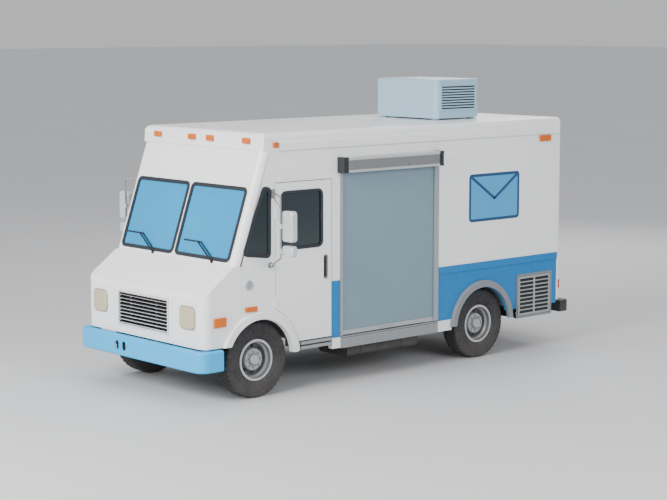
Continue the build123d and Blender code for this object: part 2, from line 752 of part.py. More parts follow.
def screen_block(inset, beyond):
    """Leaning box of the screen frame, open behind."""
    with BuildPart() as solid:
        low, high = screen_low_z - beyond, screen_top_z + beyond
        outline = side_face(
            -(half - inset),
            [(screen_y(low) + inset, low), (screen_y(high) + inset, high),
             (screen_y(high) + pillar_depth + beyond, high), (screen_y(low) + pillar_depth + beyond, low)],
        )
        extrude(outline, amount=2 * (half - inset))
        slanted = [e for e in solid.edges() if abs(e.tangent_at(0).X) < 0.01 and abs(e.tangent_at(0).Z) > 0.5]
        slanted.sort(key=lambda e: e.center().Y)
        fillet(slanted[:2], screen_corner - inset)
    return solid.part


def pane_outline(side, grow, lift):
    """Windscreen pane on one side of the centre post, grown or shrunk from its opening."""
    width = pane_x[1] - pane_x[0] + 2 * grow
    height = up_screen(pane_z[1]) - up_screen(pane_z[0]) + 2 * grow
    middle = (side * (pane_x[0] + pane_x[1]) / 2, (up_screen(pane_z[0]) + up_screen(pane_z[1])) / 2)
    with BuildSketch(screen_plane(0, lift)) as outline:
        with Locations(middle):
            RectangleRounded(width, height, pane_corner + grow)
    return outline.sketch


wiper_pivots = {"left": (686.0, 1446.0), "right": (-356.0, 1446.0)}

with BuildPart() as screen_frame:
    add(screen_block(0, 0))
    add(screen_block(frame_t, 60), mode=Mode.SUBTRACT)
    for side in (1, -1):
        extrude(pane_outline(side, 0, 20), amount=-80, mode=Mode.SUBTRACT)
    for x, z in wiper_pivots.values():
        with Locations(screen_plane(x)):
            with Locations((0, up_screen(z), 0)):
                Cylinder(wiper_bore + running, 120, mode=Mode.SUBTRACT)

quarter_points = [
    (axle_f - 205, 1540), (axle_f + 143, 1494), (axle_f + 149, 2203), (axle_f + 65, 2223)
]


def quarter_outline(x, grow):
    """Small side window ahead of the cab door."""
    with BuildSketch(Plane.YZ.offset(x)) as outline:
        with BuildLine():
            Polyline(*quarter_points, close=True)
        make_face()
        fillet(outline.vertices(), 36)
        if grow:
            offset(amount=grow)
    return outline.sketch


with BuildPart() as fixed_glass:
    for side in (1, -1):
        extrude(pane_outline(side, -rubber_in - free_gap, -4), amount=-glass_t)
        extrude(quarter_outline(side * (half - 6 - glass_t), -rubber_in - free_gap), amount=side * glass_t)

with BuildPart() as window_rubbers:
    for side in (1, -1):
        extrude(pane_outline(side, rubber_lip, free_gap), amount=6)
        extrude(pane_outline(side, -free_gap, -12), amount=18)
        extrude(pane_outline(side, -rubber_in, -20), amount=40, mode=Mode.SUBTRACT)
        extrude(quarter_outline(side * (half + free_gap), rubber_lip), amount=side * 6)
        extrude(quarter_outline(side * (half - 12), -free_gap), amount=side * 18)
        extrude(quarter_outline(side * (half - 20), -rubber_in), amount=side * 40, mode=Mode.SUBTRACT)

# ================================================================ hinges
barrel_radius = 7.0
pin_radius = 3.0
barrel_stand = 8.0  # hinge axis to the skin of the body
hinge_half = 55.0
leaf_reach = 38.0
leaf_t = 3.0


def hinge_leaf(axis, direction, spans, skin, fixed):
    """Barrels round an upright axis with a leaf that lies on the skin.

    axis is (x, y), direction the way the leaf runs, and skin the way to the body's face.
    """
    x, y = axis
    for low, high in spans:
        rod((x, y, low), (x, y, high), barrel_radius)
        near, far = barrel_stand - leaf_t, barrel_stand
        xs = (x + skin[0] * near, x + skin[0] * far) if skin[0] else (x, x + direction[0] * leaf_reach)
        ys = (y + skin[1] * near, y + skin[1] * far) if skin[1] else (y, y + direction[1] * leaf_reach)
        block(sorted(xs), sorted(ys), (low, high))
    if fixed:
        rod((x, y, spans[0][0]), (x, y, spans[-1][1]), pin_radius)


def hinge_bore(axis, z):
    """Bore of a door's hinge barrel round its pin."""
    rod((*axis, z - hinge_half), (*axis, z + hinge_half), pin_radius + running, mode=Mode.SUBTRACT)


def fixed_spans(z):
    """Heights of the two fixed barrels of a hinge at height z."""
    return ((z - hinge_half, z - hinge_half / 2 - free_gap), (z + hinge_half / 2 + free_gap, z + hinge_half))


def door_spans(z):
    """Height of the door's own barrel, between the two fixed ones."""
    return ((z - hinge_half / 2, z + hinge_half / 2),)


cab_axis = {1: (half + barrel_stand, door_front_y), -1: (-half - barrel_stand, door_front_y)}
cab_hinge_z = (1000.0, 1950.0)

# ================================================================ side walls
cap_x = (axle_f - 136.0, 1217.0)  # Y and Z of the fuel filler
cap_radius = 52.0
filler_radius = 34.0


def wall_piece(side, points, arch_y=None, cut=None):
    """Flat wall panel, with an optional wheel cut-out and a rectangular opening."""
    extrude(side_face(side * (half - wall_t), points), amount=side * wall_t)
    if cut:
        block(sorted((side * (half - 200), side * (half + 50))), cut[0], cut[1], mode=Mode.SUBTRACT)
    if arch_y is not None:
        rod(
            (side * 800, arch_y, axle_z), (side * (half + 50), arch_y, axle_z), arch_radius,
            mode=Mode.SUBTRACT,
        )


def rectangle_points(ys, zs):
    return [(ys[0], zs[0]), (ys[1], zs[0]), (ys[1], zs[1]), (ys[0], zs[1])]


cowl_side_y = (cowl_rear_y + seam, door_front_y - door_gap)
with BuildPart() as side_walls:
    for side in (1, -1):
        # Cowl side with the small window, and the piece that runs down behind the tyre.
        lean_low = screen_y(screen_low_z) + pillar_depth + seam
        lean_top = screen_y(wall_top_z) + pillar_depth + seam
        extrude(
            side_face(
                side * (half - wall_t),
                [(cowl_side_y[0], nose_low_z), (cowl_side_y[1], nose_low_z), (cowl_side_y[1], wall_top_z),
                 (lean_top, wall_top_z), (cowl_side_y[0] + 0.5, screen_low_z)],
            ),
            amount=side * wall_t,
        )
        with BuildSketch(Plane.YZ.offset(side * (half - wall_t))) as rocker:
            with Locations((axle_f, axle_z)):
                Circle(door_arc_radius - door_gap)
            with Locations((axle_f + 300, rocker_z + 300)):
                Rectangle(600, 600, mode=Mode.INTERSECT)
        extrude(rocker.sketch, amount=side * wall_t)
        rod(
            (side * 800, axle_f, axle_z), (side * (half + 50), axle_f, axle_z), arch_radius,
            mode=Mode.SUBTRACT,
        )
        extrude(quarter_outline(side * (half - 100), 0), amount=side * 200, mode=Mode.SUBTRACT)
        # Header above the cab door.
        header_y = (cowl_side_y[1] + seam, door_rear_y + door_gap)
        wall_piece(side, rectangle_points(header_y, (door_head_z + door_gap, wall_top_z)))
    rod(
        (half - 60, cap_x[0], cap_x[1]), (half + 10, cap_x[0], cap_x[1]), filler_radius + running,
        mode=Mode.SUBTRACT
    )
    post_y = (door_rear_y + door_gap + seam, post_rear_y)
    for side in (1, -1):
        wall_piece(side, rectangle_points(post_y, (belt_z, wall_top_z)))
        wall_piece(side, rectangle_points((panel_front_y + seam, panel_rear_y), (belt_z, wall_top_z)))
        block(
            sorted((side * (half - 60), side * half)), (door_rear_y + 6, post_rear_y + 10),
            (400, skirt_low_z - 2),
        )
    wall_piece(1, rectangle_points((post_rear_y + seam, panel_front_y), (hatch_z[1], wall_top_z)))
    wall_piece(-1, rectangle_points((post_rear_y + seam, panel_front_y), (belt_z, wall_top_z)))
    for side in (1, -1):
        for z in cab_hinge_z:
            hinge_leaf(cab_axis[side], (0, -1), fixed_spans(z), (-side, 0), True)
    # Small sill box ahead of the rear wheel.
    block((half - 60, half), (panel_front_y + seam, axle_r - arch_radius - 60), (sill_z, skirt_low_z - 2))
    block((-half, -half + 60), (panel_front_y + seam, axle_r - arch_radius - 60), (sill_z, skirt_low_z - 2))

with BuildPart() as lower_panels:
    blue_z = (skirt_low_z, belt_z - seam)
    for side in (1, -1):
        wall_piece(side, rectangle_points(post_y, blue_z))
    wall_piece(-1, rectangle_points((post_rear_y + seam, panel_front_y), blue_z))
    wall_piece(
        1, rectangle_points((panel_front_y + seam, panel_rear_y), blue_z), axle_r,
        (vent_y, (vent_z[0] - 10, vent_z[1])),
    )
    wall_piece(-1, rectangle_points((panel_front_y + seam, panel_rear_y), blue_z), axle_r)
    # Rounded belt moulding along the top of the panels.
    for side, start in ((1, panel_front_y + seam), (-1, post_y[0])):
        block(
            sorted((side * (half - 1), side * (half + moulding_t))), (start, panel_rear_y),
            (belt_z - 98, belt_z - seam),
        )
    fillet(lower_panels.edges().filter_by(Axis.Y).filter_by(lambda e: abs(e.center().X) > half + 1), 5)

# ================================================================ roof
roof_t = 22.0
cap_face_y = axle_f + 75.0
gutter_z = wall_top_z + seam


def roof_block(inset):
    """Roof with the rounded cap over the screen, brought in by inset."""
    with BuildPart() as solid:
        with BuildSketch(Plane.YZ.offset(-(half - inset))) as outline:
            with BuildLine():
                Polyline(
                    (screen_y(screen_top_z + 2) + inset, gutter_z), (cap_face_y + inset, 2660),
                    (cap_face_y + inset, roof_z - inset),
                    (body_rear_y - inset, roof_z - inset), (body_rear_y - inset, gutter_z), close=True,
                )
            make_face()
            fillet(outline.vertices().group_by(Axis.Y)[-1].sort_by(Axis.X)[0], 70 - inset)
        extrude(outline.sketch, amount=2 * (half - inset))
        # Rounded shoulders along both sides.
        with BuildSketch(Plane.XZ.offset(-(front_y - 100))) as section:
            with Locations((0, roof_z - inset - 300)):
                Rectangle(2 * (half - inset), 600)
            fillet(section.vertices().group_by(Axis.Y)[-1], 62 - inset)
        extrude(section.sketch, amount=-(overall_length + 400), mode=Mode.INTERSECT)
    return solid.part


with BuildPart() as roof:
    add(roof_block(0))
    add(roof_block(roof_t), mode=Mode.SUBTRACT)
    block(
        (-half + roof_t, half - roof_t), (cap_face_y + 60, body_rear_y - roof_t), (gutter_z - 1, 2660),
        mode=Mode.SUBTRACT,
    )
    # The front of the cap stands on the screen frame.
    block(
        (-half - 5, half + 5), (front_y, screen_y(screen_top_z) + pillar_depth + seam),
        (0, screen_top_z + seam), mode=Mode.SUBTRACT,
    )
    for side in (1, -1):
        block(
            sorted((side * (half - 2), side * (half + 18))), (cap_rear_y, panel_rear_y),
            (gutter_z + 4, gutter_z + 104)
        )
    fillet(roof.edges().filter_by(Axis.Y).filter_by(lambda e: abs(e.center().X) > half + 17), 14)


# ================================================================ rear frame and hinges
rear_open_x = 960.0
rear_open_z = (644.0, 2360.0)
rear_frame_z = (556.0, gutter_z - seam)
rear_door_t = 28.0
rear_hinge_z = (900.0, 1500.0, 2180.0)
rear_axis = {side: (side * (rear_open_x + 4), body_rear_y + barrel_stand) for side in (1, -1)}

with BuildPart() as rear_frame:
    with BuildSketch(Plane.XZ.offset(-(body_rear_y - portal_t))) as ring:
        with Locations((0, (rear_frame_z[0] + rear_frame_z[1]) / 2)):
            Rectangle(2 * half, rear_frame_z[1] - rear_frame_z[0])
        with Locations((0, (rear_open_z[0] + rear_open_z[1]) / 2)):
            Rectangle(2 * rear_open_x, rear_open_z[1] - rear_open_z[0], mode=Mode.SUBTRACT)
    extrude(ring.sketch, amount=-portal_t)
    for side in (1, -1):
        for z in rear_hinge_z:
            hinge_leaf(rear_axis[side], (side, 0), fixed_spans(z), (0, -1), True)

rear_doors = {}
for name, side in (("left", 1), ("right", -1)):
    with BuildPart() as rear_door:
        block(
            sorted((side * 2, side * (rear_open_x - door_gap))), (body_rear_y - rear_door_t, body_rear_y),
            (rear_open_z[0] + door_gap, rear_open_z[1] - door_gap),
        )
        # Hollow inside face, stiffened by the rim and one cross rail.
        for low, high in ((rear_open_z[0] + 60, 1460), (1520, rear_open_z[1] - 60)):
            block(
                sorted((side * 60, side * (rear_open_x - 60))),
                (body_rear_y - rear_door_t - 1, body_rear_y - 6),
                (low, high), mode=Mode.SUBTRACT,
            )
        for z in rear_hinge_z:
            hinge_leaf(rear_axis[side], (-side, 0), door_spans(z), (0, -1), False)
            hinge_bore(rear_axis[side], z)
        # Lock rod with its guides and a turning handle.
        lock_x = side * 50
        if side > 0:
            rod(
                (lock_x, body_rear_y + 16, rear_open_z[0] + 30),
                (lock_x, body_rear_y + 16, rear_open_z[1] - 30), 8,
            )
            for z in (800, 1300, 1700, 2200):
                block((lock_x - 20, lock_x + 20), (body_rear_y - 1, body_rear_y + 14), (z, z + 30))
            block((lock_x - 10, lock_x + 150), (body_rear_y + 20, body_rear_y + 30), (1195, 1225))
        else:
            block((lock_x - 16, lock_x + 16), (body_rear_y - 1, body_rear_y + 22), (1150, 1270))
    rear_doors[name] = rear_door

# ================================================================ cab doors
door_window_y = (axle_f + 310.0, axle_f + 878.0)
door_window_z = (1552.0, 2157.0)
door_window_corner = 55.0
handle_y = axle_f + 930.0
handle_z = (1190.0, 1443.0)


def door_window(side, x, grow):
    face = side_rect(
        side * x, (door_window_y[0] - grow, door_window_y[1] + grow),
        (door_window_z[0] - grow, door_window_z[1] + grow),
        door_window_corner + grow,
    )
    return face


cab_doors = {}
cab_glass = {}
for name, side in (("left", 1), ("right", -1)):
    with BuildPart() as cab_door:
        with BuildSketch(Plane.YZ.offset(side * (half - door_t))) as leaf:
            low_y, high_y = door_front_y + door_gap, door_rear_y - door_gap
            with Locations(((low_y + high_y) / 2, (door_foot_z + door_head_z - door_gap) / 2)):
                Rectangle(high_y - low_y, door_head_z - door_gap - door_foot_z)
            with Locations((axle_f, axle_z)):
                Circle(door_arc_radius, mode=Mode.SUBTRACT)
        extrude(leaf.sketch, amount=side * door_t)
        extrude(door_window(side, half - 100, 0), amount=side * 200, mode=Mode.SUBTRACT)
        # Recess of the pull handle, with the grip across it.
        extrude(
            side_rect(side * (half - 26), (handle_y - 22, handle_y + 22), handle_z, 18), amount=side * 40,
            mode=Mode.SUBTRACT,
        )
        rod((side * (half - 6), handle_y, handle_z[0] + 8), (side * (half - 6), handle_y, handle_z[1] - 8), 6)
        for z in (handle_z[0] + 10, handle_z[1] - 22):
            block(sorted((side * (half - 27), side * (half - 6))), (handle_y - 6, handle_y + 6), (z, z + 12))
        # The hollow inside the door's lower half.
        block(
            sorted((side * (half - door_t - 1), side * (half - 18))),
            (door_window_y[0] + 60, door_window_y[1] - 10),
            (960, 1480), mode=Mode.SUBTRACT,
        )
        for z in cab_hinge_z:
            hinge_leaf(cab_axis[side], (0, 1), door_spans(z), (-side, 0), False)
            hinge_bore(cab_axis[side], z)
    cab_doors[name] = cab_door
    with BuildPart() as pane:
        extrude(door_window(side, half - 16, -free_gap), amount=side * glass_t)
    cab_glass[name] = pane

# ================================================================ roller shutter
curtain_x = (half - 14.0, half - 6.0)
curtain_top = 2400.0
guide_low_z = 532.0
bar_z = (534.0, 584.0)
guide_y = (post_rear_y + 2, panel_front_y - seam)
track_y = (guide_y[0] + 10, hatch_rear_y + 16)  # ends of the curtain inside the channels
roller_x = half + 54.0
roller_z = 2405.0
roller_radius = 46.0
roller_shaft = 10.0
lift_travel = 1.65

with BuildPart() as shutter_guides:
    top = case_z[0] - seam
    for ys in ((guide_y[0], guide_y[0] + 34), (hatch_rear_y, guide_y[1])):
        block((inside, half + 10), ys, (guide_low_z, top))
        # Slot in which the curtain and its bottom bar run.
        front = ys[0] == guide_y[0]
        inner = (guide_y[0] + 8, guide_y[0] + 40) if front else (hatch_rear_y - 1, hatch_rear_y + 20)
        block((half - 20, half), inner, (guide_low_z - 1, top + 1), mode=Mode.SUBTRACT)

with BuildPart() as shutter_curtain:
    block(curtain_x, track_y, (bar_z[1] + free_gap, curtain_top))

with BuildPart() as shutter_bottom_bar:
    block((curtain_x[0] - 4, curtain_x[1] + 4), (track_y[0], track_y[1]), bar_z)
    fillet(shutter_bottom_bar.edges().filter_by(Axis.Y), 3)
    block(
        (curtain_x[1] + 3, curtain_x[1] + 24),
        ((track_y[0] + track_y[1]) / 2 - 90, (track_y[0] + track_y[1]) / 2 + 90),
        (bar_z[0] + 16, bar_z[0] + 30),
    )

with BuildPart() as shutter_roller:
    rod((roller_x, case_y[0] + 76, roller_z), (roller_x, case_y[1] - 76, roller_z), roller_radius)
    rod((roller_x, case_y[0] + 50, roller_z), (roller_x, case_y[1] - 50, roller_z), roller_shaft)

case_wall = 4.0
cheek = 70.0
with BuildPart() as shutter_case:
    xs = (half + seam, half + case_depth)
    block(xs, case_y, case_z)
    fillet(shutter_case.edges().filter_by(Axis.Y).filter_by(lambda e: e.center().X > half + 50), 12)
    block(
        (xs[0] - 1, xs[1] - case_wall), (case_y[0] + cheek, case_y[1] - cheek),
        (case_z[0] + case_wall, case_z[1] - case_wall),
        mode=Mode.SUBTRACT,
    )
    # Raised bands along the top and bottom of the face.
    for low in (case_z[0] + 4, case_z[1] - 24):
        block((xs[1] - 2, xs[1] + 5), case_y, (low, low + 20))
    for y in (case_y[0] + 40, case_y[1] - cheek - 1):
        rod(
            (roller_x, y, roller_z), (roller_x, y + cheek - 40 + 1, roller_z), roller_shaft + running,
            mode=Mode.SUBTRACT,
        )

# ================================================================ wheel flares, sills, lamps
with BuildPart() as wheel_flares:
    for side in (1, -1):
        for y in (axle_f, axle_r):
            rod((side * (half + seam / 4), y, axle_z), (side * (half + flare_depth), y, axle_z), flare_radius)
            rod(
                (side * (half - 5), y, axle_z), (side * (half + 80), y, axle_z), arch_radius + 4,
                mode=Mode.SUBTRACT,
            )
    below = -flare_radius
    for ys, top in (
        ((axle_f - 700, axle_f), nose_low_z), ((axle_f - 1, axle_f + 700), rocker_z),
        ((axle_r - 700, axle_r + 700), axle_z + 30),
    ):
        block((-half - 80, half + 80), ys, (below, top), mode=Mode.SUBTRACT)
    outer_rims = [
        e for e in wheel_flares.edges().filter_by(GeomType.CIRCLE)
        if e.radius > arch_radius + 10 and abs(e.center().X) > half + 5
    ]
    fillet(outer_rims, 18)

with BuildPart() as sills:
    for side in (1, -1):
        outer = side * (half + 8)
        ys = (post_rear_y + 14, panel_front_y - seam)
        block(sorted((outer, side * (half - sill_depth))), ys, (sill_z, sill_z + 110))
        for z in (sill_z + 12, sill_z + 44, sill_z + 76):
            block(sorted((side * (half + 4), side * (half + 12))), ys, (z, z + 14), mode=Mode.SUBTRACT)
        if side > 0:
            # Threshold rail under the shutter.
            block((half - 30, half + 8), ys, (sill_z + 116, sill_z + 130))
            block((half - 34, half - 28), ys, (sill_z + 109, sill_z + 130))
        # Ridged strips under the cab door.
        for z in (rocker_z + 4, rocker_z + 54):
            block(
                sorted((side * (half - 30), side * (half + 4))),
                (axle_f + door_arc_radius + 4, door_rear_y), (z, z + 34),
            )

marker_size = (112.0, 36.0, 62.0)
marker_z = 2668.0


def lamp_body(xs, ys, zs, radius):
    """Lamp lens with round corners and edges."""
    with BuildPart() as lamp:
        block(xs, ys, zs)
        fillet(lamp.edges(), radius)
    return lamp.part


with BuildPart() as lamps:
    for x in (-779, -159, 159, 779):
        lens_y = (cap_face_y - marker_size[1], cap_face_y - 0.3)
        lens_x = (x - marker_size[0] / 2, x + marker_size[0] / 2)
        add(lamp_body(lens_x, lens_y, (marker_z, marker_z + marker_size[2]), 12))
    for side in (1, -1):
        for ys, zs in (
            ((axle_f - 609, axle_f - 446), (817, 918)), ((axle_f - 193, axle_f - 33), (935, 990)),
            ((axle_f + 4350, axle_f + 4550), (2510, 2584)), ((axle_f + 190, axle_f + 262), (2630, 2690)),
        ):
            add(lamp_body(sorted((side * (half + 0.3), side * (half + 24))), ys, zs, 10))
        add(
            lamp_body(
                sorted((side * (half - 70), side * (half - 6))), (body_rear_y + 0.3, body_rear_y + 45),
                (690, 800), 14
            )
        )

# ================================================================ vent door and its bay
vent_frame_w = 26.0
vent_axis = (half + 14.0, vent_y[0] + vent_frame_w - 2)
vent_hinge_z = (vent_z[0] + 110, vent_z[1] - 110)
bay_sheet = 4.0
with BuildPart() as vent_bay:
    extrude(side_rect(half - 24, vent_y, vent_z, 12), amount=30)
    extrude(
        side_rect(
            half - 60, (vent_y[0] + vent_frame_w, vent_y[1] - vent_frame_w),
            (vent_z[0] + vent_frame_w, vent_z[1] - vent_frame_w), 6,
        ),
        amount=90, mode=Mode.SUBTRACT,
    )
    block((bay_x[0], half - 24), bay_y, (vent_z[0] + 6, vent_z[1] - 16))
    block(
        (bay_x[0] + bay_sheet, half + 20), (bay_y[0] + bay_sheet + 8, bay_y[1] - bay_sheet - 8),
        (vent_z[0] + vent_frame_w, vent_z[1] - vent_frame_w), mode=Mode.SUBTRACT,
    )
    for z in vent_hinge_z:
        hinge_leaf(vent_axis, (0, -1), fixed_spans(z), (-1, 0), True)

with BuildPart() as vent_door:
    door_ys = (vent_y[0] + vent_frame_w + door_gap, vent_y[1] - vent_frame_w - door_gap)
    door_zs = (vent_z[0] + vent_frame_w + door_gap, vent_z[1] - vent_frame_w - door_gap)
    extrude(side_rect(half - 14, door_ys, door_zs, 4), amount=20)
    slot_count = 9
    column_w = (door_ys[1] - door_ys[0] - 90) / 2
    slot_pitch = (door_zs[1] - door_zs[0] - 40) / slot_count
    for column in range(2):
        y0 = door_ys[0] + 30 + column * (column_w + 30)
        for n in range(slot_count):
            z0 = door_zs[0] + 20 + slot_pitch * n
            extrude(
                side_rect(half - 40, (y0, y0 + column_w), (z0 + 8, z0 + slot_pitch - 8), 10), amount=80,
                mode=Mode.SUBTRACT,
            )
            # Slat behind each slot, leaning outwards at the bottom.
            slat_top = z0 + slot_pitch - 10
            slat = [(half - 12, slat_top), (half - 8, slat_top), (half + 4, z0 + 14), (half, z0 + 14)]
            with BuildSketch(Plane.XZ.offset(-(y0 - 2))) as slat_outline:
                with BuildLine():
                    Polyline(*slat, close=True)
                make_face()
            extrude(slat_outline.sketch, amount=-(column_w + 4))
    for z in vent_hinge_z:
        hinge_leaf(vent_axis, (0, 1), door_spans(z), (-1, 0), False)
        hinge_bore(vent_axis, z)

# ================================================================ fuel filler cap
with BuildPart() as fuel_cap:
    rod((half + 0.5, cap_x[0], cap_x[1]), (half + 14, cap_x[0], cap_x[1]), cap_radius)
    fillet(fuel_cap.edges().filter_by(GeomType.CIRCLE).group_by(Axis.X)[-1], 5)
    block((half + 10, half + 26), (cap_x[0] - 9, cap_x[0] + 9), (cap_x[1] - 38, cap_x[1] + 38))
    rod((half - 22, cap_x[0], cap_x[1]), (half + 1, cap_x[0], cap_x[1]), filler_radius)

# ================================================================ roof unit
unit_half = 522.0
unit_y = (axle_f + 3140.0, axle_f + 3866.0)
unit_z = (roof_z + 18.0, 3259.0)
unit_corner = 55.0
unit_wall = 5.0
louvre_z = (roof_z + 120.0, 3185.0)


def unit_block(inset):
    with BuildPart() as solid:
        with BuildSketch(Plane.XY.offset(unit_z[0] + inset)) as plan:
            with Locations((0, (unit_y[0] + unit_y[1]) / 2)):
                RectangleRounded(
                    2 * (unit_half - inset), unit_y[1] - unit_y[0] - 2 * inset, unit_corner - inset
                )
        extrude(plan.sketch, amount=unit_z[1] - unit_z[0] - 2 * inset)
        fillet(solid.edges().group_by(Axis.Z)[-1], 16 - inset)
    return solid.part


with BuildPart() as roof_unit:
    add(unit_block(0))
    add(unit_block(unit_wall), mode=Mode.SUBTRACT)
    slots = 9
    pitch = (louvre_z[1] - louvre_z[0]) / slots
    for side in (1, -1):
        # Pressed frame round the louvres.
        ys = (unit_y[0] + 60, unit_y[1] - 60)
        frame_ring = side_rect(side * (unit_half - 2), ys, (louvre_z[0] - 20, louvre_z[1] + 20), 20)
        frame_gap = side_rect(
            side * (unit_half - 1), (ys[0] + 18, ys[1] - 18), (louvre_z[0] - 2, louvre_z[1] + 2), 10
        )
        extrude(frame_ring, amount=side * 8)
        extrude(frame_gap, amount=side * 12, mode=Mode.SUBTRACT)
        for n in range(slots):
            z0 = louvre_z[0] + pitch * n
            slot = side_rect(side * (unit_half - 30), (ys[0] + 24, ys[1] - 24), (z0 + 8, z0 + pitch - 8), 8)
            extrude(slot, amount=side * 60, mode=Mode.SUBTRACT)
            slat = [(side * (unit_half - 22), z0 + pitch - 4), (side * (unit_half - 17), z0 + pitch - 4),
                    (side * (unit_half - 3), z0 + 6), (side * (unit_half - 7), z0 + 6)]
            with BuildSketch(Plane.XZ.offset(-(ys[0] + 10))) as slat_outline:
                with BuildLine():
                    Polyline(*slat, close=True)
                make_face()
            extrude(slat_outline.sketch, amount=-(ys[1] - ys[0] - 20))
    for x in (-unit_half + 90, unit_half - 90):
        for y in (unit_y[0] + 70, unit_y[1] - 70):
            block((x - 40, x + 40), (y - 30, y + 30), (roof_z + 0.3, unit_z[0] + 1))

# ================================================================ mirrors
tube_radius = 9.0
arm_x = mirror_half_width - 160.0
arm_y = axle_f + 25.0
arm_z = (1520.0, 2153.0)
head_x = (mirror_half_width - 175.0, mirror_half_width)
head_z = (1690.0, 2010.0)
small_z = (1535.0, 1650.0)
sleeve_radius = 17.0
upper_foot = (half + 10.0, axle_f + 190.0, 2173.0)
lower_foot = (half + 34.0, axle_f + 150.0, 1404.0)

with BuildPart() as mirror_arms:
    for side in (1, -1):
        top = (side * arm_x, arm_y, arm_z[1])
        bottom = (side * arm_x, arm_y, arm_z[0])
        upper = (side * upper_foot[0], upper_foot[1], upper_foot[2])
        lower = (side * lower_foot[0], lower_foot[1], lower_foot[2])
        rod(bottom, top, tube_radius)
        rod(upper, top, tube_radius)
        rod(lower, bottom, tube_radius)
        for point in (top, bottom):
            with Locations(point):
                Sphere(tube_radius + 1.5)
        # Thin brace from the upper foot to the outer tube.
        rod((side * (half + 8), upper_foot[1], 2125), (side * (arm_x - 2), arm_y, 2040), 5)
        with Locations(lower):
            Sphere(24)
        rod((side * (half + 0.3), lower[1], lower[2]), (side * (half + 20), lower[1], lower[2]), 30)
        block(
            sorted((side * (half + 0.3), side * (half + 12))), (upper_foot[1] - 22, upper_foot[1] + 22),
            (2105, 2200)
        )

mirrors = {}
for name, side in (("left", 1), ("right", -1)):
    with BuildPart() as mirror:
        for zs in (head_z, small_z):
            ys = (arm_y + sleeve_radius + 2, arm_y + sleeve_radius + 70)
            with BuildSketch(Plane.XZ.offset(-ys[0])) as face:
                with Locations((side * (head_x[0] + head_x[1]) / 2, (zs[0] + zs[1]) / 2)):
                    RectangleRounded(head_x[1] - head_x[0], zs[1] - zs[0], 38)
            extrude(face.sketch, amount=-(ys[1] - ys[0]))
        straight_rim = mirror.edges().filter_by(GeomType.LINE).group_by(Axis.Y)[0]
        corner_rim = mirror.edges().filter_by(GeomType.CIRCLE).group_by(Axis.Y)[0]
        fillet(straight_rim + corner_rim, 20)
        for zs in (head_z, small_z):
            # Recess of the glass, and the clamp round the tube.
            inner = (arm_y + sleeve_radius + 64, arm_y + sleeve_radius + 71)
            glass_face = front_rect(
                inner[0], sorted((side * (head_x[0] + 10), side * (head_x[1] - 10))),
                (zs[0] + 10, zs[1] - 10), 28,
            )
            extrude(glass_face, amount=-20, mode=Mode.SUBTRACT)
            middle = (zs[0] + zs[1]) / 2
            rod((side * arm_x, arm_y, middle - 26), (side * arm_x, arm_y, middle + 26), sleeve_radius)
            block(
                sorted((side * (arm_x - 12), side * (arm_x + 12))), (arm_y + 6, arm_y + sleeve_radius + 4),
                (middle - 26, middle + 26),
            )
            rod(
                (side * arm_x, arm_y, middle - 30), (side * arm_x, arm_y, middle + 30), tube_radius + running,
                mode=Mode.SUBTRACT,
            )
    mirrors[name] = mirror

# ================================================================ wipers
arm_end = (-320.0, 190.0)  # pivot to the top of the main bar, across and up the screen
blade_x = (-560.0, -255.0)
blade_lip = 6.0
arm_lift = 7.0  # arms ride this far above the frame's face
arm_half = 6.0
link_gap = 28.0  # from the main bar to the thinner one beside it
link_start = 20.0
blade_gap = 0.6


def straight_bar(start, end, width):
    """Bar with round ends between two points of the open sketch."""
    run = (end[0] - start[0], end[1] - start[1])
    with Locations(((start[0] + end[0]) / 2, (start[1] + end[1]) / 2)):
        SlotCenterToCenter(hypot(*run), width, rotation=degrees(atan2(run[1], run[0])))


wipers = {}
for name, (x, z) in wiper_pivots.items():
    base = up_screen(z)
    along = (arm_end[0] / hypot(*arm_end), arm_end[1] / hypot(*arm_end))
    link_foot = (
        along[0] * link_start + along[1] * link_gap, base + along[1] * link_start - along[0] * link_gap
    )
    blade_middle = ((blade_x[0] + blade_x[1]) / 2, base + arm_end[1])
    with BuildPart() as wiper:
        with BuildSketch(screen_plane(x, arm_lift)) as arms:
            straight_bar((0, base), (arm_end[0], base + arm_end[1]), 2 * arm_half)
            straight_bar(link_foot, (blade_x[1] - arm_half, base + arm_end[1]), 2 * arm_half)
            straight_bar((0, base), link_foot, 2 * arm_half)
            with Locations((0, base)):
                Circle(wiper_bore + 9)
        extrude(arms.sketch, amount=8)
        with BuildSketch(screen_plane(x, -frame_t)) as shaft:
            with Locations((0, base)):
                Circle(wiper_bore)
        extrude(shaft.sketch, amount=frame_t + arm_lift + 14)
        # Blade: a stiff back and the rubber lip that runs on the glass.
        with BuildSketch(screen_plane(x, 0)) as back:
            with Locations(blade_middle):
                SlotOverall(blade_x[1] - blade_x[0], 14)
        extrude(back.sketch, amount=arm_lift + 1)
        with BuildSketch(screen_plane(x, -4 + blade_gap)) as lip:
            with Locations(blade_middle):
                Rectangle(blade_x[1] - blade_x[0] - 2 * blade_lip, 5)
        extrude(lip.sketch, amount=5)
    wipers[name] = wiper

# ================================================================ dashboard, pedal, steering wheel and seat
dash_y = firewall_y + 4 + seam
dash_rear = axle_f + 60.0
wheel_centre = (480.0, axle_f + 240.0, 1190.0)
column_tilt = 30.0  # the steering wheel's plane leans back from level
rim_radius = 210.0
column_radius = 12.0
pedal_axis = (axle_f - 60.0, 980.0)
pedal_x = 400.0


def column_point(distance):
    """Point on the steering column, this far below the wheel."""
    return (
        wheel_centre[0], wheel_centre[1] - distance * sin(radians(column_tilt)),
        wheel_centre[2] - distance * cos(radians(column_tilt)),
    )


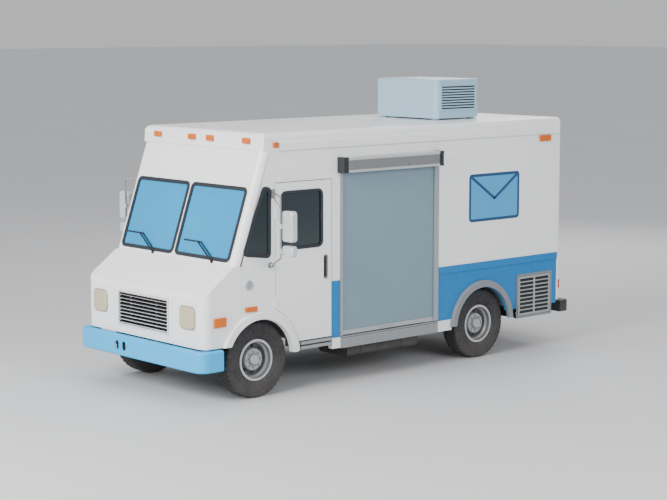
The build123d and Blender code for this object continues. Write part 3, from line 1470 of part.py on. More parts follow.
with BuildPart() as dashboard:
    outline = side_face(
        -inside + 1,
        [(
            dash_y, 1010
        ), (dash_rear, 1010), (dash_rear, 1120), (axle_f - 20, 1330), (axle_f - 120, 1385), (dash_y, 1385)],
    )
    extrude(outline, amount=2 * inside - 2)
    block((-inside + 20, inside - 20), (dash_y - 1, dash_rear - 14), (1000, 1110), mode=Mode.SUBTRACT)
    block((-inside + 20, inside - 20), (dash_y - 1, axle_f - 60), (1109, 1320), mode=Mode.SUBTRACT)
    # Column jacket on its bracket, and the pedal's pin between two ears.
    rod(column_point(60), column_point(320), 26)
    block((wheel_centre[0] - 18, wheel_centre[0] + 18), (dash_rear - 2, axle_f + 160), (1020, 1056))
    rod(column_point(50), column_point(330), column_radius + running, mode=Mode.SUBTRACT)
    for x in (pedal_x - 26, pedal_x + 16):
        block((x, x + 10), (pedal_axis[0] - 18, pedal_axis[0] + 18), (pedal_axis[1] - 18, 1111))
    block((pedal_x - 40, pedal_x + 40), (pedal_axis[0] - 30, dash_rear - 10), (1100, 1112))
    rod((pedal_x - 26, pedal_axis[0], pedal_axis[1]), (pedal_x + 26, pedal_axis[0], pedal_axis[1]), 5)

with BuildPart() as brake_pedal:
    rod((pedal_x - 15, pedal_axis[0], pedal_axis[1]), (pedal_x + 15, pedal_axis[0], pedal_axis[1]), 13)
    block(
        (pedal_x - 7, pedal_x + 7), (pedal_axis[0] - 8, pedal_axis[0] + 8),
        (pedal_axis[1] - 270, pedal_axis[1]),
    )
    block(
        (pedal_x - 45, pedal_x + 45), (pedal_axis[0] + 2, pedal_axis[0] + 18),
        (pedal_axis[1] - 300, pedal_axis[1] - 230),
    )
    rod(
        (pedal_x - 20, pedal_axis[0], pedal_axis[1]), (pedal_x + 20, pedal_axis[0], pedal_axis[1]),
        5 + running,
        mode=Mode.SUBTRACT,
    )

with BuildPart() as steering_wheel:
    wheel_plane_tilted = Plane(
        origin=wheel_centre, x_dir=(1, 0, 0), z_dir=tuple(Vector(*wheel_centre) - Vector(*column_point(1)))
    )
    with Locations(wheel_plane_tilted):
        Torus(rim_radius, 13)
        Cylinder(38, 30)
        with PolarLocations(0, 3, start_angle=90):
            with Locations((rim_radius / 2, 0, 0)):
                Box(rim_radius - 6, 26, 10)
    rod(wheel_centre, column_point(318), column_radius)

seat_x = 500.0
seat_y = (axle_f + 555.0, axle_f + 1010.0)
with BuildPart() as seat_frame:
    block((seat_x - 200, seat_x + 200), (seat_y[0] + 20, seat_y[1] - 60), (floor_z, floor_z + 20))
    block((seat_x - 150, seat_x + 150), (seat_y[0] + 60, seat_y[1] - 120), (floor_z + 20, 960))
    block(
        (seat_x - 145, seat_x + 145), (seat_y[0] + 65, seat_y[1] - 125), (floor_z + 19, 961),
        mode=Mode.SUBTRACT
    )
    block((seat_x - 230, seat_x + 230), (seat_y[0], seat_y[1] - 30), (960, 985))
    for x in (seat_x - 170, seat_x + 140):
        block((x, x + 30), (seat_y[1] + 40, seat_y[1] + 60), (965, 1560))
        block((x, x + 30), (seat_y[1] - 60, seat_y[1] + 60), (960, 985))

with BuildPart() as seat_pads:
    block((seat_x - 235, seat_x + 235), (seat_y[0] - 5, seat_y[1] - 45), (985.5, 1090))
    block((seat_x - 225, seat_x + 225), (seat_y[1] - 50, seat_y[1] + 39), (1100, 1640))
    fillet(seat_pads.edges(), 24)

# ================================================================ write every node
nodes = {
    "front_axle": front_axle, "rear_axle": rear_axle, "ladder_frame": ladder_frame, "engine": engine,
    "radiator": radiator, "exhaust": exhaust, "fuel_tank": fuel_tank, "propeller_shaft": prop_shaft,
    "floor": floor, "nose": nose, "grille": grille, "headlights": headlights,
    "front_bumper": front_bumper, "rear_bumper": rear_bumper, "screen_frame": screen_frame,
    "fixed_glass": fixed_glass, "window_rubbers": window_rubbers, "side_walls": side_walls,
    "lower_panels": lower_panels, "roof": roof, "rear_frame": rear_frame,
    "leaf_springs": leaf_springs, "shutter_guides": shutter_guides, "shutter_curtain": shutter_curtain,
    "shutter_bottom_bar": shutter_bottom_bar, "shutter_roller": shutter_roller, "shutter_case": shutter_case,
    "wheel_flares": wheel_flares, "sills": sills, "lamps": lamps,
    "vent_bay": vent_bay, "vent_door": vent_door, "fuel_cap": fuel_cap, "roof_unit": roof_unit,
    "mirror_arms": mirror_arms, "dashboard": dashboard, "brake_pedal": brake_pedal,
    "steering_wheel": steering_wheel, "seat_frame": seat_frame, "seat_pads": seat_pads,
}
for group, pieces in (
    ("tyre", tyres), ("wheel", wheels), ("knuckle", knuckles), ("rear_door", rear_doors),
    ("cab_door", cab_doors),
    ("cab_glass", cab_glass), ("mirror", mirrors), ("wiper", wipers),
):
    for place, piece in pieces.items():
        nodes[f"{group}_{place}"] = piece

for name, piece in nodes.items():
    piece.part.label = name
    export_step(piece.part, f"parts/{name}.step")

print(len(nodes), "nodes written")
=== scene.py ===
"""Looks of a walk-in delivery van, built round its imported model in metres."""

import math

import bpy
from mathutils import Matrix, Vector


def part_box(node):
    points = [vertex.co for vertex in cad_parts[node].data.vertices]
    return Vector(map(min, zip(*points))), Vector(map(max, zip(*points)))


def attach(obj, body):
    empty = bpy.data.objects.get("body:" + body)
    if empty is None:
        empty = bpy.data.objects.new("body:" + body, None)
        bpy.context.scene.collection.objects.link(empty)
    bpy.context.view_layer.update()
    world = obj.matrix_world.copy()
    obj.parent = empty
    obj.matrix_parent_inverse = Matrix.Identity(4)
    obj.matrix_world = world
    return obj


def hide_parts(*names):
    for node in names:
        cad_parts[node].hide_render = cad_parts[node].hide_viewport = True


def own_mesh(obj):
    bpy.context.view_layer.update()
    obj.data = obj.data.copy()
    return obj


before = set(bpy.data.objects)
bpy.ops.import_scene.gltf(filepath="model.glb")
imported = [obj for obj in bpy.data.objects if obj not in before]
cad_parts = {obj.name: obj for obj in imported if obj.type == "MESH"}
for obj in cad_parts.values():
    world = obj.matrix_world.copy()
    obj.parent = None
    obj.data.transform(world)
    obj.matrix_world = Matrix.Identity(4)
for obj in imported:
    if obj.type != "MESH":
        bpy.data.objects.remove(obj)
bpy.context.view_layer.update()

# ---------------------------------------------------------------- running gear
# A ladder frame of pressed channel with leaf springs, cast axles and a steel
# propeller shaft: black chassis paint over steel, dull and dusty from the road.
ROAD_DUST = (0.19, 0.17, 0.15)
BLACK_PAINT = (0.018, 0.018, 0.020)
CAST_GREY = (0.060, 0.060, 0.062)
SPRING_GREY = (0.07, 0.065, 0.06)
CORE_GREY = (0.05, 0.05, 0.055)


def finish_of(name, colour, rough=0.45, metal=0.0, coat=0.0, steps=(), vary=0.06, patch=2.2,
              grain=260.0, bump=0.05, dust=0.0, dust_top=0.9, alpha=1.0, streak=None, inside=None):
    """Finish whose colour, gloss and surface all change a little over the piece.

    steps is a list of (axis, edge, colour): beyond the edge along that axis the colour takes over.
    inside is (low corner, high corner, colour): within that box the colour takes over.
    """
    material = bpy.data.materials.new(name)
    material.use_nodes = True
    nodes, links = material.node_tree.nodes, material.node_tree.links
    shader = nodes["Principled BSDF"]
    shader.inputs["Metallic"].default_value = metal
    shader.inputs["Coat Weight"].default_value = coat
    shader.inputs["Coat Roughness"].default_value = 0.08
    shader.inputs["Alpha"].default_value = alpha
    place = nodes.new("ShaderNodeTexCoord").outputs["Object"]
    axes = nodes.new("ShaderNodeSeparateXYZ")
    links.new(place, axes.inputs[0])

    def noise(scale, detail=3.0, stretch=None):
        texture = nodes.new("ShaderNodeTexNoise")
        texture.inputs["Scale"].default_value = scale
        texture.inputs["Detail"].default_value = detail
        if stretch:
            mapping = nodes.new("ShaderNodeMapping")
            mapping.inputs["Scale"].default_value = stretch
            links.new(place, mapping.inputs["Vector"])
            links.new(mapping.outputs[0], texture.inputs["Vector"])
        else:
            links.new(place, texture.inputs["Vector"])
        return texture.outputs["Fac"]

    def ranged(source, low, high, start=0.0, end=1.0):
        node = nodes.new("ShaderNodeMapRange")
        node.inputs["From Min"].default_value = start
        node.inputs["From Max"].default_value = end
        node.inputs["To Min"].default_value = low
        node.inputs["To Max"].default_value = high
        links.new(source, node.inputs["Value"])
        return node.outputs["Result"]

    def mixed(factor, first, second, mode="MIX"):
        node = nodes.new("ShaderNodeMix")
        node.data_type = "RGBA"
        node.blend_type = mode
        for socket, value in ((0, factor), (6, first), (7, second)):
            if isinstance(value, (tuple, float)):
                node.inputs[socket].default_value = (*value, 1.0) if isinstance(value, tuple) else value
            else:
                links.new(value, node.inputs[socket])
        return node.outputs[2]

    tone = colour
    for axis, edge, beyond in steps:
        past = nodes.new("ShaderNodeMath")
        past.operation = "GREATER_THAN"
        past.inputs[1].default_value = edge
        source = axes.outputs["XYZ".index(axis[-1])]
        if axis[0] == "|":
            size = nodes.new("ShaderNodeMath")
            size.operation = "ABSOLUTE"
            links.new(source, size.inputs[0])
            source = size.outputs[0]
        links.new(source, past.inputs[0])
        tone = mixed(past.outputs[0], tone, beyond)
    if inside:
        low_corner, high_corner = Vector(inside[0]), Vector(inside[1])
        centre, reach = (low_corner + high_corner) / 2, (high_corner - low_corner) / 2
        moved = nodes.new("ShaderNodeVectorMath")
        moved.operation = "SUBTRACT"
        moved.inputs[1].default_value = centre
        links.new(place, moved.inputs[0])
        scaled = nodes.new("ShaderNodeVectorMath")
        scaled.operation = "DIVIDE"
        scaled.inputs[1].default_value = reach
        links.new(moved.outputs[0], scaled.inputs[0])
        size = nodes.new("ShaderNodeVectorMath")
        size.operation = "ABSOLUTE"
        links.new(scaled.outputs[0], size.inputs[0])
        parts = nodes.new("ShaderNodeSeparateXYZ")
        links.new(size.outputs[0], parts.inputs[0])
        farthest = parts.outputs[0]
        for part in parts.outputs[1:]:
            larger = nodes.new("ShaderNodeMath")
            larger.operation = "MAXIMUM"
            links.new(farthest, larger.inputs[0])
            links.new(part, larger.inputs[1])
            farthest = larger.outputs[0]
        within = nodes.new("ShaderNodeMath")
        within.operation = "LESS_THAN"
        within.inputs[1].default_value = 1.0
        links.new(farthest, within.inputs[0])
        tone = mixed(within.outputs[0], tone, inside[2])
    darker = (1 - 2.2 * vary,) * 3
    lighter = (1 + vary,) * 3
    shade = mixed(noise(patch, 4.0, streak), darker, lighter)
    tone = mixed(1.0, tone, shade, "MULTIPLY")
    if dust:
        height = ranged(axes.outputs[2], dust, 0.0, 0.0, dust_top)
        spread = nodes.new("ShaderNodeMath")
        spread.operation = "MULTIPLY"
        links.new(height, spread.inputs[0])
        links.new(ranged(noise(7.0, 6.0), 0.2, 1.3), spread.inputs[1])
        spread.use_clamp = True
        tone = mixed(spread.outputs[0], tone, ROAD_DUST)
    links.new(tone, shader.inputs["Base Color"])
    gloss = ranged(noise(patch * 6, 5.0), rough * 0.75, min(1.0, rough * 1.3), 0.3, 0.7)
    links.new(gloss, shader.inputs["Roughness"])
    relief = nodes.new("ShaderNodeBump")
    relief.inputs["Strength"].default_value = bump
    relief.inputs["Distance"].default_value = 0.002
    links.new(noise(grain, 2.0), relief.inputs["Height"])
    links.new(relief.outputs[0], shader.inputs["Normal"])
    return material


def dress(node, material):
    """Give a CAD node its finish."""
    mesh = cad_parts[node].data
    mesh.materials.clear()
    mesh.materials.append(material)


chassis_paint = finish_of("chassis_paint", BLACK_PAINT, rough=0.6, vary=0.15, dust=0.35, dust_top=0.8,
                          bump=0.12)
cast_metal = finish_of("cast_metal", CAST_GREY, rough=0.7, metal=0.4, vary=0.25, dust=0.4, bump=0.4,
                       grain=180)
spring_steel = finish_of("spring_steel", SPRING_GREY, rough=0.55, metal=0.7, vary=0.3, patch=9, dust=0.4)
for node in ("ladder_frame", "fuel_tank", "propeller_shaft"):
    dress(node, chassis_paint)
for node in ("front_axle", "rear_axle", "knuckle_left", "knuckle_right", "engine"):
    dress(node, cast_metal)
for node in ("leaf_springs", "exhaust"):
    dress(node, spring_steel)
dress("radiator", finish_of("radiator_core", CORE_GREY, rough=0.5, metal=0.6, streak=(1, 1, 60), vary=0.3))

# ---------------------------------------------------------------- wheels
# Pressed steel discs welded in drop-centre rims, painted grey, with painted shade in
# the dish and a painted highlight on the rolled lip, eight nuts and a plain bright hub cap in the middle.
WHEELS = ("front_left", "front_right", "rear_left", "rear_right")
RIM_GREY = (0.30, 0.31, 0.32)
# Painted highlight on the rim's rolled lip.
LIP_HIGHLIGHT = (0.62, 0.63, 0.64)
HUB_BRIGHT = (0.50, 0.51, 0.52)
LIP_RADIUS = 0.196
HUB_RADIUS = 0.060
# Painted shade in the wheel's dish, darkest just outside the hub cap.
WELL_SHADE = (0.12, 0.12, 0.125)
WELL_HALF_SHADE = (0.16, 0.16, 0.165)
RIM_RINGS = (
    (0.115, HUB_BRIGHT), (0.125, WELL_SHADE), (0.168, WELL_HALF_SHADE), (0.180, RIM_GREY), (LIP_RADIUS, RIM_GREY),
)
RING_SCALE = 4.0  # the rings' radii in metres, spread over the ramp's length


def wheel_paint(corner):
    """Grey steel with painted shade in the dish, a painted highlight on the rim's lip and a bright hub cap,
    measured from the wheel's own axis.
    """
    low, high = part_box("wheel_" + corner)
    centre = (low + high) / 2
    material = finish_of("wheel_steel_" + corner, RIM_GREY, rough=0.38, metal=0.55, vary=0.12, patch=14,
                         bump=0.08)
    nodes, links = material.node_tree.nodes, material.node_tree.links
    shader = nodes["Principled BSDF"]
    old = shader.inputs["Base Color"].links[0].from_socket
    place = nodes.new("ShaderNodeTexCoord")
    flat = nodes.new("ShaderNodeVectorMath")
    flat.operation = "MULTIPLY"
    flat.inputs[1].default_value = (0, 1, 1)
    links.new(place.outputs["Object"], flat.inputs[0])
    reach = nodes.new("ShaderNodeVectorMath")
    reach.operation = "DISTANCE"
    reach.inputs[1].default_value = (0, centre.y, centre.z)
    links.new(flat.outputs[0], reach.inputs[0])
    ramp = nodes.new("ShaderNodeValToRGB")
    ramp.color_ramp.interpolation = "EASE"
    stops = ramp.color_ramp.elements
    # From the bright hub cap out through painted shade in the dish to a painted highlight on the lip.
    stops[0].position = HUB_RADIUS * RING_SCALE
    stops[0].color = (*HUB_BRIGHT, 1)
    stops[1].position = LIP_RADIUS * RING_SCALE + 0.02
    stops[1].color = (*LIP_HIGHLIGHT, 1)
    stops.new(HUB_RADIUS * RING_SCALE + 0.01).color = (*RIM_GREY, 1)
    for radius, shade in RIM_RINGS:
        stops.new(radius * RING_SCALE).color = (*shade, 1)
    scaled = nodes.new("ShaderNodeMath")
    scaled.operation = "MULTIPLY"
    scaled.inputs[1].default_value = RING_SCALE
    links.new(reach.outputs["Value"], scaled.inputs[0])
    links.new(scaled.outputs[0], ramp.inputs[0])
    blend = nodes.new("ShaderNodeMix")
    blend.data_type = "RGBA"
    blend.inputs[0].default_value = 0.75
    links.new(old, blend.inputs[6])
    links.new(ramp.outputs[0], blend.inputs[7])
    links.new(blend.outputs[2], shader.inputs["Base Color"])
    return material


for corner in WHEELS:
    dress("wheel_" + corner, wheel_paint(corner))

# ---------------------------------------------------------------- tyres
# Moulded rubber casings with four grooves round the tread, slits across the
# shoulders and two fine ribs on each wall.
GROOVE_DEPTH = 0.009
TREAD_STEPS = 280
SLIT_EVERY = 7
SHOULDER_X = 0.055
SHOULDER_RADIUS = 0.385
TREAD_RADIUS = 0.40
BEAD = (0.069, 0.2035)
# Half of the tyre's section: distance from the middle, and radius, from the bead out to the tread.
HALF_TREAD = [
    (0.083, 0.2035), (0.083, 0.225), (0.099, 0.240), (0.1085, 0.262), (0.1105, 0.263), (0.1110, 0.268),
    (0.1095, 0.270), (0.1150, 0.300), (0.1160, 0.301), (0.1165, 0.309), (0.1150, 0.310), (0.1130, 0.345),
    (0.1085, 0.376), (0.104, 0.390), (0.094, 0.4015), (0.062, 0.403), (0.060, 0.394), (0.051, 0.394),
    (0.049, 0.403), (0.023, 0.403), (0.021, 0.394), (0.012, 0.394), (0.010, 0.403),
]


def clear_selection():
    """Leave edit mode and deselect everything."""
    if bpy.context.object and bpy.context.object.mode != "OBJECT":
        bpy.ops.object.mode_set(mode="OBJECT")
    bpy.ops.object.select_all(action="DESELECT")


def tidy_mesh(piece, name, material, angle=35):
    """Name, weld and smooth a finished piece, and put its place in its mesh."""
    clear_selection()
    piece.name = name
    piece.data.name = name
    piece.select_set(True)
    bpy.context.view_layer.objects.active = piece
    bpy.ops.object.transform_apply(location=True, rotation=True, scale=True)
    bpy.ops.object.mode_set(mode="EDIT")
    bpy.ops.mesh.select_all(action="SELECT")
    bpy.ops.mesh.remove_doubles(threshold=0.00001)
    bpy.ops.mesh.normals_make_consistent(inside=False)
    bpy.ops.object.mode_set(mode="OBJECT")
    bpy.ops.object.shade_smooth_by_angle(angle=math.radians(angle))
    piece.data.materials.clear()
    piece.data.materials.append(material)


tyre_rubber = finish_of("tyre_rubber", (0.022, 0.022, 0.024), rough=0.78, vary=0.18, patch=6, dust=0.30,
                        dust_top=0.75, grain=500, bump=0.15)
profile = [(-x, r) for x, r in HALF_TREAD] + [(x, r) for x, r in reversed(HALF_TREAD)]
profile = profile + [BEAD, (-BEAD[0], BEAD[1]), profile[0]]
for corner in WHEELS:
    low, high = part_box("tyre_" + corner)
    centre = (low + high) / 2
    clear_selection()
    bpy.ops.mesh.primitive_grid_add(x_subdivisions=TREAD_STEPS, y_subdivisions=len(profile) - 1, size=1)
    tyre = bpy.context.object
    for index, vertex in enumerate(tyre.data.vertices):
        row, column = divmod(index, TREAD_STEPS + 1)
        x, radius = profile[row]
        if abs(x) > SHOULDER_X and radius > SHOULDER_RADIUS and column % SLIT_EVERY in (0, 1):
            radius -= GROOVE_DEPTH * 0.8
        if abs(x) < SHOULDER_X and radius > TREAD_RADIUS and (column + 3) % SLIT_EVERY == 0:
            radius -= GROOVE_DEPTH * 0.5
        turn = 2 * math.pi * column / TREAD_STEPS
        vertex.co = (centre.x + x, centre.y + radius * math.cos(turn), centre.z + radius * math.sin(turn))
    tidy_mesh(tyre, "tyre_casing_" + corner, tyre_rubber, 28)
    place = corner.split("_")
    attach(tyre, f"{place[0]}_wheel_{place[1]}")
    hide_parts("tyre_" + corner)

# ---------------------------------------------------------------- floor, cab fittings and seat
# Sheet-metal floor with the wheel housings and step wells welded in, a moulded
# dashboard, a thin-rimmed steering wheel and one driver's seat.
dress("floor", finish_of("floor_sheet", (0.20, 0.21, 0.22), rough=0.6, metal=0.2, vary=0.12, dust=0.35,
                         dust_top=0.7, bump=0.2))
cab_plastic = finish_of("cab_plastic", (0.035, 0.038, 0.042), rough=0.55, vary=0.1, grain=700, bump=0.25)
dress("dashboard", cab_plastic)
dress("steering_wheel", finish_of("wheel_grip", (0.02, 0.02, 0.022), rough=0.4, grain=900, bump=0.2))
dress("brake_pedal", spring_steel)
dress("seat_frame", chassis_paint)

PAD_CLOTH = (0.055, 0.075, 0.10)
PAD_VOXEL = 0.006
PAD_PRESSURE = 4.0
PAD_SWELL = 0.018
PAD_START = 0.93
PAD_ROUNDING = 0.022
PAD_STEPS = 20
PAD_CHANNEL = 0.009
CHANNEL_PLACE = 0.27
CUSHION_THICK = 0.1045
CUSHION_DEPTH = 0.415
BACK_THICK = 0.089
BACK_GAP = 0.010


def woven(name, colour, thread=900.0):
    """Upholstery cloth: crossed threads that show in relief."""
    material = finish_of(name, colour, rough=0.85, vary=0.12, patch=12, grain=thread, bump=0.35)
    nodes, links = material.node_tree.nodes, material.node_tree.links
    shader = nodes["Principled BSDF"]
    shader.inputs["Sheen Weight"].default_value = 0.35
    shader.inputs["Sheen Roughness"].default_value = 0.5
    place = nodes.new("ShaderNodeTexCoord").outputs["Object"]
    threads = []
    for axis in ("X", "Z"):
        wave = nodes.new("ShaderNodeTexWave")
        wave.bands_direction = axis
        wave.inputs["Scale"].default_value = 120.0
        wave.inputs["Distortion"].default_value = 0.6
        links.new(place, wave.inputs["Vector"])
        threads.append(wave.outputs["Fac"])
    cross = nodes.new("ShaderNodeMath")
    cross.operation = "MAXIMUM"
    links.new(threads[0], cross.inputs[0])
    links.new(threads[1], cross.inputs[1])
    relief = nodes.new("ShaderNodeBump")
    relief.inputs["Strength"].default_value = 0.3
    relief.inputs["Distance"].default_value = 0.001
    links.new(cross.outputs[0], relief.inputs["Height"])
    links.new(shader.inputs["Normal"].links[0].from_socket, relief.inputs["Normal"])
    links.new(relief.outputs[0], shader.inputs["Normal"])
    return material


def box_piece(low, high, edge=0.0, segments=3):
    """Cube between two corners with rounded edges."""
    clear_selection()
    low, high = Vector(low), Vector(high)
    bpy.ops.mesh.primitive_cube_add(size=1, location=(low + high) / 2)
    piece = bpy.context.object
    piece.scale = high - low
    bpy.ops.object.transform_apply(location=True, rotation=True, scale=True)
    if edge:
        rounding = piece.modifiers.new("rounding", "BEVEL")
        rounding.width = edge
        rounding.segments = segments
        bpy.ops.object.modifier_apply(modifier=rounding.name)
    return piece


pad_cloth = woven("seat_cloth", PAD_CLOTH)
low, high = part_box("seat_pads")
cushion_top = low.z + CUSHION_THICK
for name, corners in (
    ("seat_cushion", ((low.x, low.y, low.z), (high.x, low.y + CUSHION_DEPTH, cushion_top))),
    ("seat_backrest", ((low.x + BACK_GAP, high.y - BACK_THICK, cushion_top + BACK_GAP),
                       (high.x - BACK_GAP, high.y, high.z))),
):
    middle = (Vector(corners[0]) + Vector(corners[1])) / 2
    half_size = (Vector(corners[1]) - Vector(corners[0])) / 2 * PAD_START
    pad = box_piece(middle - half_size, middle + half_size, PAD_ROUNDING, 4)
    remesh = pad.modifiers.new("remesh", "REMESH")
    remesh.mode = "VOXEL"
    remesh.voxel_size = PAD_VOXEL
    bpy.ops.object.modifier_apply(modifier=remesh.name)
    start = [v.co.copy() for v in pad.data.vertices]
    cloth = pad.modifiers.new("swell", "CLOTH")
    cloth.settings.use_pressure = True
    cloth.settings.uniform_pressure_force = PAD_PRESSURE
    cloth.settings.effector_weights.gravity = 0.0
    for number in range(1, PAD_STEPS + 1):
        bpy.context.scene.frame_set(number)
    swollen = pad.evaluated_get(bpy.context.evaluated_depsgraph_get()).to_mesh()
    moved = [v.co.copy() for v in swollen.vertices]
    pad.modifiers.remove(cloth)
    for vertex, before, after in zip(pad.data.vertices, start, moved):
        shift = after - before
        if shift.length > PAD_SWELL:
            shift = shift.normalized() * PAD_SWELL
        vertex.co = before + shift
    bpy.context.scene.frame_set(1)
    # Sewn channels across the middle of the pad.
    upright = name == "seat_backrest"
    for vertex in pad.data.vertices:
        along = (vertex.co.x - middle.x) / (half_size.x * 2)
        groove = math.exp(-((abs(along) - CHANNEL_PLACE) * half_size.x * 2 / PAD_CHANNEL) ** 2)
        if upright and vertex.co.y < middle.y:
            vertex.co.y += PAD_CHANNEL * groove
        if not upright and vertex.co.z > middle.z:
            vertex.co.z -= PAD_CHANNEL * groove
    smooth = pad.modifiers.new("smooth", "SUBSURF")
    smooth.levels = smooth.render_levels = 1
    bpy.context.view_layer.objects.active = pad
    bpy.ops.object.modifier_apply(modifier=smooth.name)
    tidy_mesh(pad, name, pad_cloth, 60)
    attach(pad, "van_body")
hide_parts("seat_pads")

# ---------------------------------------------------------------- painted shell
# Aluminium panels and a moulded nose in satin white, with a veil of road film
# low down; the skirt panels and the front bumper are blue, the rear bumper black.
WHITE = (0.84, 0.85, 0.86)
SKIRT_BLUE = (0.0, 0.170, 0.450)
SKY_BLUE = (0.003, 0.400, 0.800)
DOOR_EDGE_GREY = (0.42, 0.43, 0.44)
HINGE_REACH = 0.015  # the hinges stand out of the side walls by this much
half_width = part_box("side_walls")[1].x - HINGE_REACH
white_paint = finish_of("white_paint", WHITE, rough=0.38, coat=0.15, vary=0.010, patch=0.7, dust=0.16,
                        dust_top=1.1, grain=330, bump=0.012)
for node in ("nose", "screen_frame", "side_walls", "roof", "rear_frame", "cab_door_left", "cab_door_right"):
    dress(node, white_paint)
belt_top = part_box("lower_panels")[1].z
dress("lower_panels", finish_of("skirt_paint", SKIRT_BLUE, rough=0.50, coat=0.02, vary=0.02, dust=0.06,
                                dust_top=0.9, bump=0.012, steps=[("Z", belt_top - 0.011, WHITE)]))
dress("front_bumper", finish_of("bumper_paint", SKY_BLUE, rough=0.42, coat=0.05, vary=0.02, dust=0.06,
                                dust_top=0.7, bump=0.015))
dress("rear_bumper", finish_of("bumper_rubber", (0.020, 0.020, 0.022), rough=0.6, vary=0.12, dust=0.25,
                               bump=0.2))
rear_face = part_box("rear_frame")[1].y
rear_door_paint = finish_of("rear_door_paint", WHITE, rough=0.38, coat=0.15, vary=0.010, dust=0.16,
                            dust_top=1.1, bump=0.012, steps=[("Y", rear_face - 0.004, DOOR_EDGE_GREY)])
dress("rear_door_left", rear_door_paint)
dress("rear_door_right", rear_door_paint)

# ---------------------------------------------------------------- grille and headlights
# Louvres with bright leading edges and painted shade below them, in front of a dark mesh,
# between two rounded square lamps with warm fluted lenses in moulded rims.
LOUVRES = 9
GRILLE_RIM = 0.022
UNSHADED_SHARE = 0.36  # of each louvre's pitch
RIM_CLEAR = 0.004
# Colour of the painted shade on the lower part of each louvre.
LOUVRE_SHADE = (0.010, 0.010, 0.011)
grille_low, grille_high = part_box("grille")
louvre_pitch = (grille_high.z - grille_low.z - 2 * GRILLE_RIM) / LOUVRES


def louvre_trim():
    """Bright rim and louvres, with painted shade over each louvre below its bright leading edge."""
    material = finish_of("grille_trim", (0.74, 0.75, 0.76), rough=0.28, metal=0.2, vary=0.04, bump=0.04)
    nodes, links = material.node_tree.nodes, material.node_tree.links
    shader = nodes["Principled BSDF"]
    plain = shader.inputs["Base Color"].links[0].from_socket
    axes = nodes.new("ShaderNodeSeparateXYZ")
    links.new(nodes.new("ShaderNodeTexCoord").outputs["Object"], axes.inputs[0])
    masks = []
    for axis, low, high in (
        (0, -grille_high.x + GRILLE_RIM + RIM_CLEAR, grille_high.x - GRILLE_RIM - RIM_CLEAR),
        (2, grille_low.z + GRILLE_RIM, grille_high.z - GRILLE_RIM),
    ):
        for edge, operation in ((low, "GREATER_THAN"), (high, "LESS_THAN")):
            test = nodes.new("ShaderNodeMath")
            test.operation = operation
            test.inputs[1].default_value = edge
            links.new(axes.outputs[axis], test.inputs[0])
            masks.append(test.outputs[0])
    height = nodes.new("ShaderNodeMath")
    height.operation = "SUBTRACT"
    height.inputs[1].default_value = grille_low.z + GRILLE_RIM
    links.new(axes.outputs[2], height.inputs[0])
    cycle = nodes.new("ShaderNodeMath")
    cycle.operation = "FLOORED_MODULO"
    cycle.inputs[1].default_value = louvre_pitch
    links.new(height.outputs[0], cycle.inputs[0])
    # Painted shade over all but the top share of each louvre's pitch, inside the rim.
    dark = nodes.new("ShaderNodeMath")
    dark.operation = "GREATER_THAN"
    dark.inputs[1].default_value = louvre_pitch * UNSHADED_SHARE
    links.new(cycle.outputs[0], dark.inputs[0])
    mask = dark.outputs[0]
    for other in masks:
        both = nodes.new("ShaderNodeMath")
        both.operation = "MULTIPLY"
        links.new(mask, both.inputs[0])
        links.new(other, both.inputs[1])
        mask = both.outputs[0]
    blend = nodes.new("ShaderNodeMix")
    blend.data_type = "RGBA"
    blend.inputs[7].default_value = (*LOUVRE_SHADE, 1.0)
    links.new(mask, blend.inputs[0])
    links.new(plain, blend.inputs[6])
    links.new(blend.outputs[2], shader.inputs["Base Color"])
    return material


dress("grille", louvre_trim())
dress("headlights", finish_of("lamp_lens", (0.50, 0.43, 0.28), rough=0.22, coat=0.4, vary=0.05, patch=5,
                              bump=0.3, grain=90, streak=(60, 1, 1)))
FACING = {
    "+x": Matrix(((0, 0, 1, 0), (1, 0, 0, 0), (0, 1, 0, 0), (0, 0, 0, 1))),
    "-x": Matrix(((0, 0, -1, 0), (-1, 0, 0, 0), (0, 1, 0, 0), (0, 0, 0, 1))),
    "-y": Matrix(((1, 0, 0, 0), (0, 0, -1, 0), (0, 1, 0, 0), (0, 0, 0, 1))),
    "+y": Matrix(((-1, 0, 0, 0), (0, 0, 1, 0), (0, 1, 0, 0), (0, 0, 0, 1))),
}


def rounded_plate(centre, width, height, corner, thick, facing, ring=0.0, edge=0.0, turn=0.0):
    """Plate with round corners, or only its rim when ring is set, standing out from centre."""
    clear_selection()
    bpy.ops.mesh.primitive_plane_add(size=1)
    piece = bpy.context.object
    piece.scale = (width, height, 1)
    bpy.ops.object.transform_apply(location=True, rotation=True, scale=True)
    bpy.ops.object.mode_set(mode="EDIT")
    bpy.ops.mesh.select_all(action="SELECT")
    bpy.ops.mesh.bevel(offset=corner, segments=8, affect="VERTICES")
    if ring:
        bpy.ops.mesh.select_all(action="SELECT")
        bpy.ops.mesh.inset(thickness=ring)
        bpy.ops.mesh.delete(type="FACE")
    bpy.ops.mesh.select_all(action="SELECT")
    bpy.ops.mesh.extrude_region_move(TRANSFORM_OT_translate={"value": (0, 0, thick)})
    bpy.ops.object.mode_set(mode="OBJECT")
    if edge:
        rounding = piece.modifiers.new("rounding", "BEVEL")
        rounding.width = edge
        rounding.segments = 2
        rounding.limit_method = "ANGLE"
        rounding.angle_limit = math.radians(50)
        bpy.ops.object.modifier_apply(modifier=rounding.name)
    piece.data.transform(Matrix.Translation(centre) @ FACING[facing] @ Matrix.Rotation(turn, 4, "Z"))
    return piece


def fitted(piece, name, material, body):
    """Finish a piece and fix it to a body."""
    tidy_mesh(piece, name, material)
    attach(piece, body)


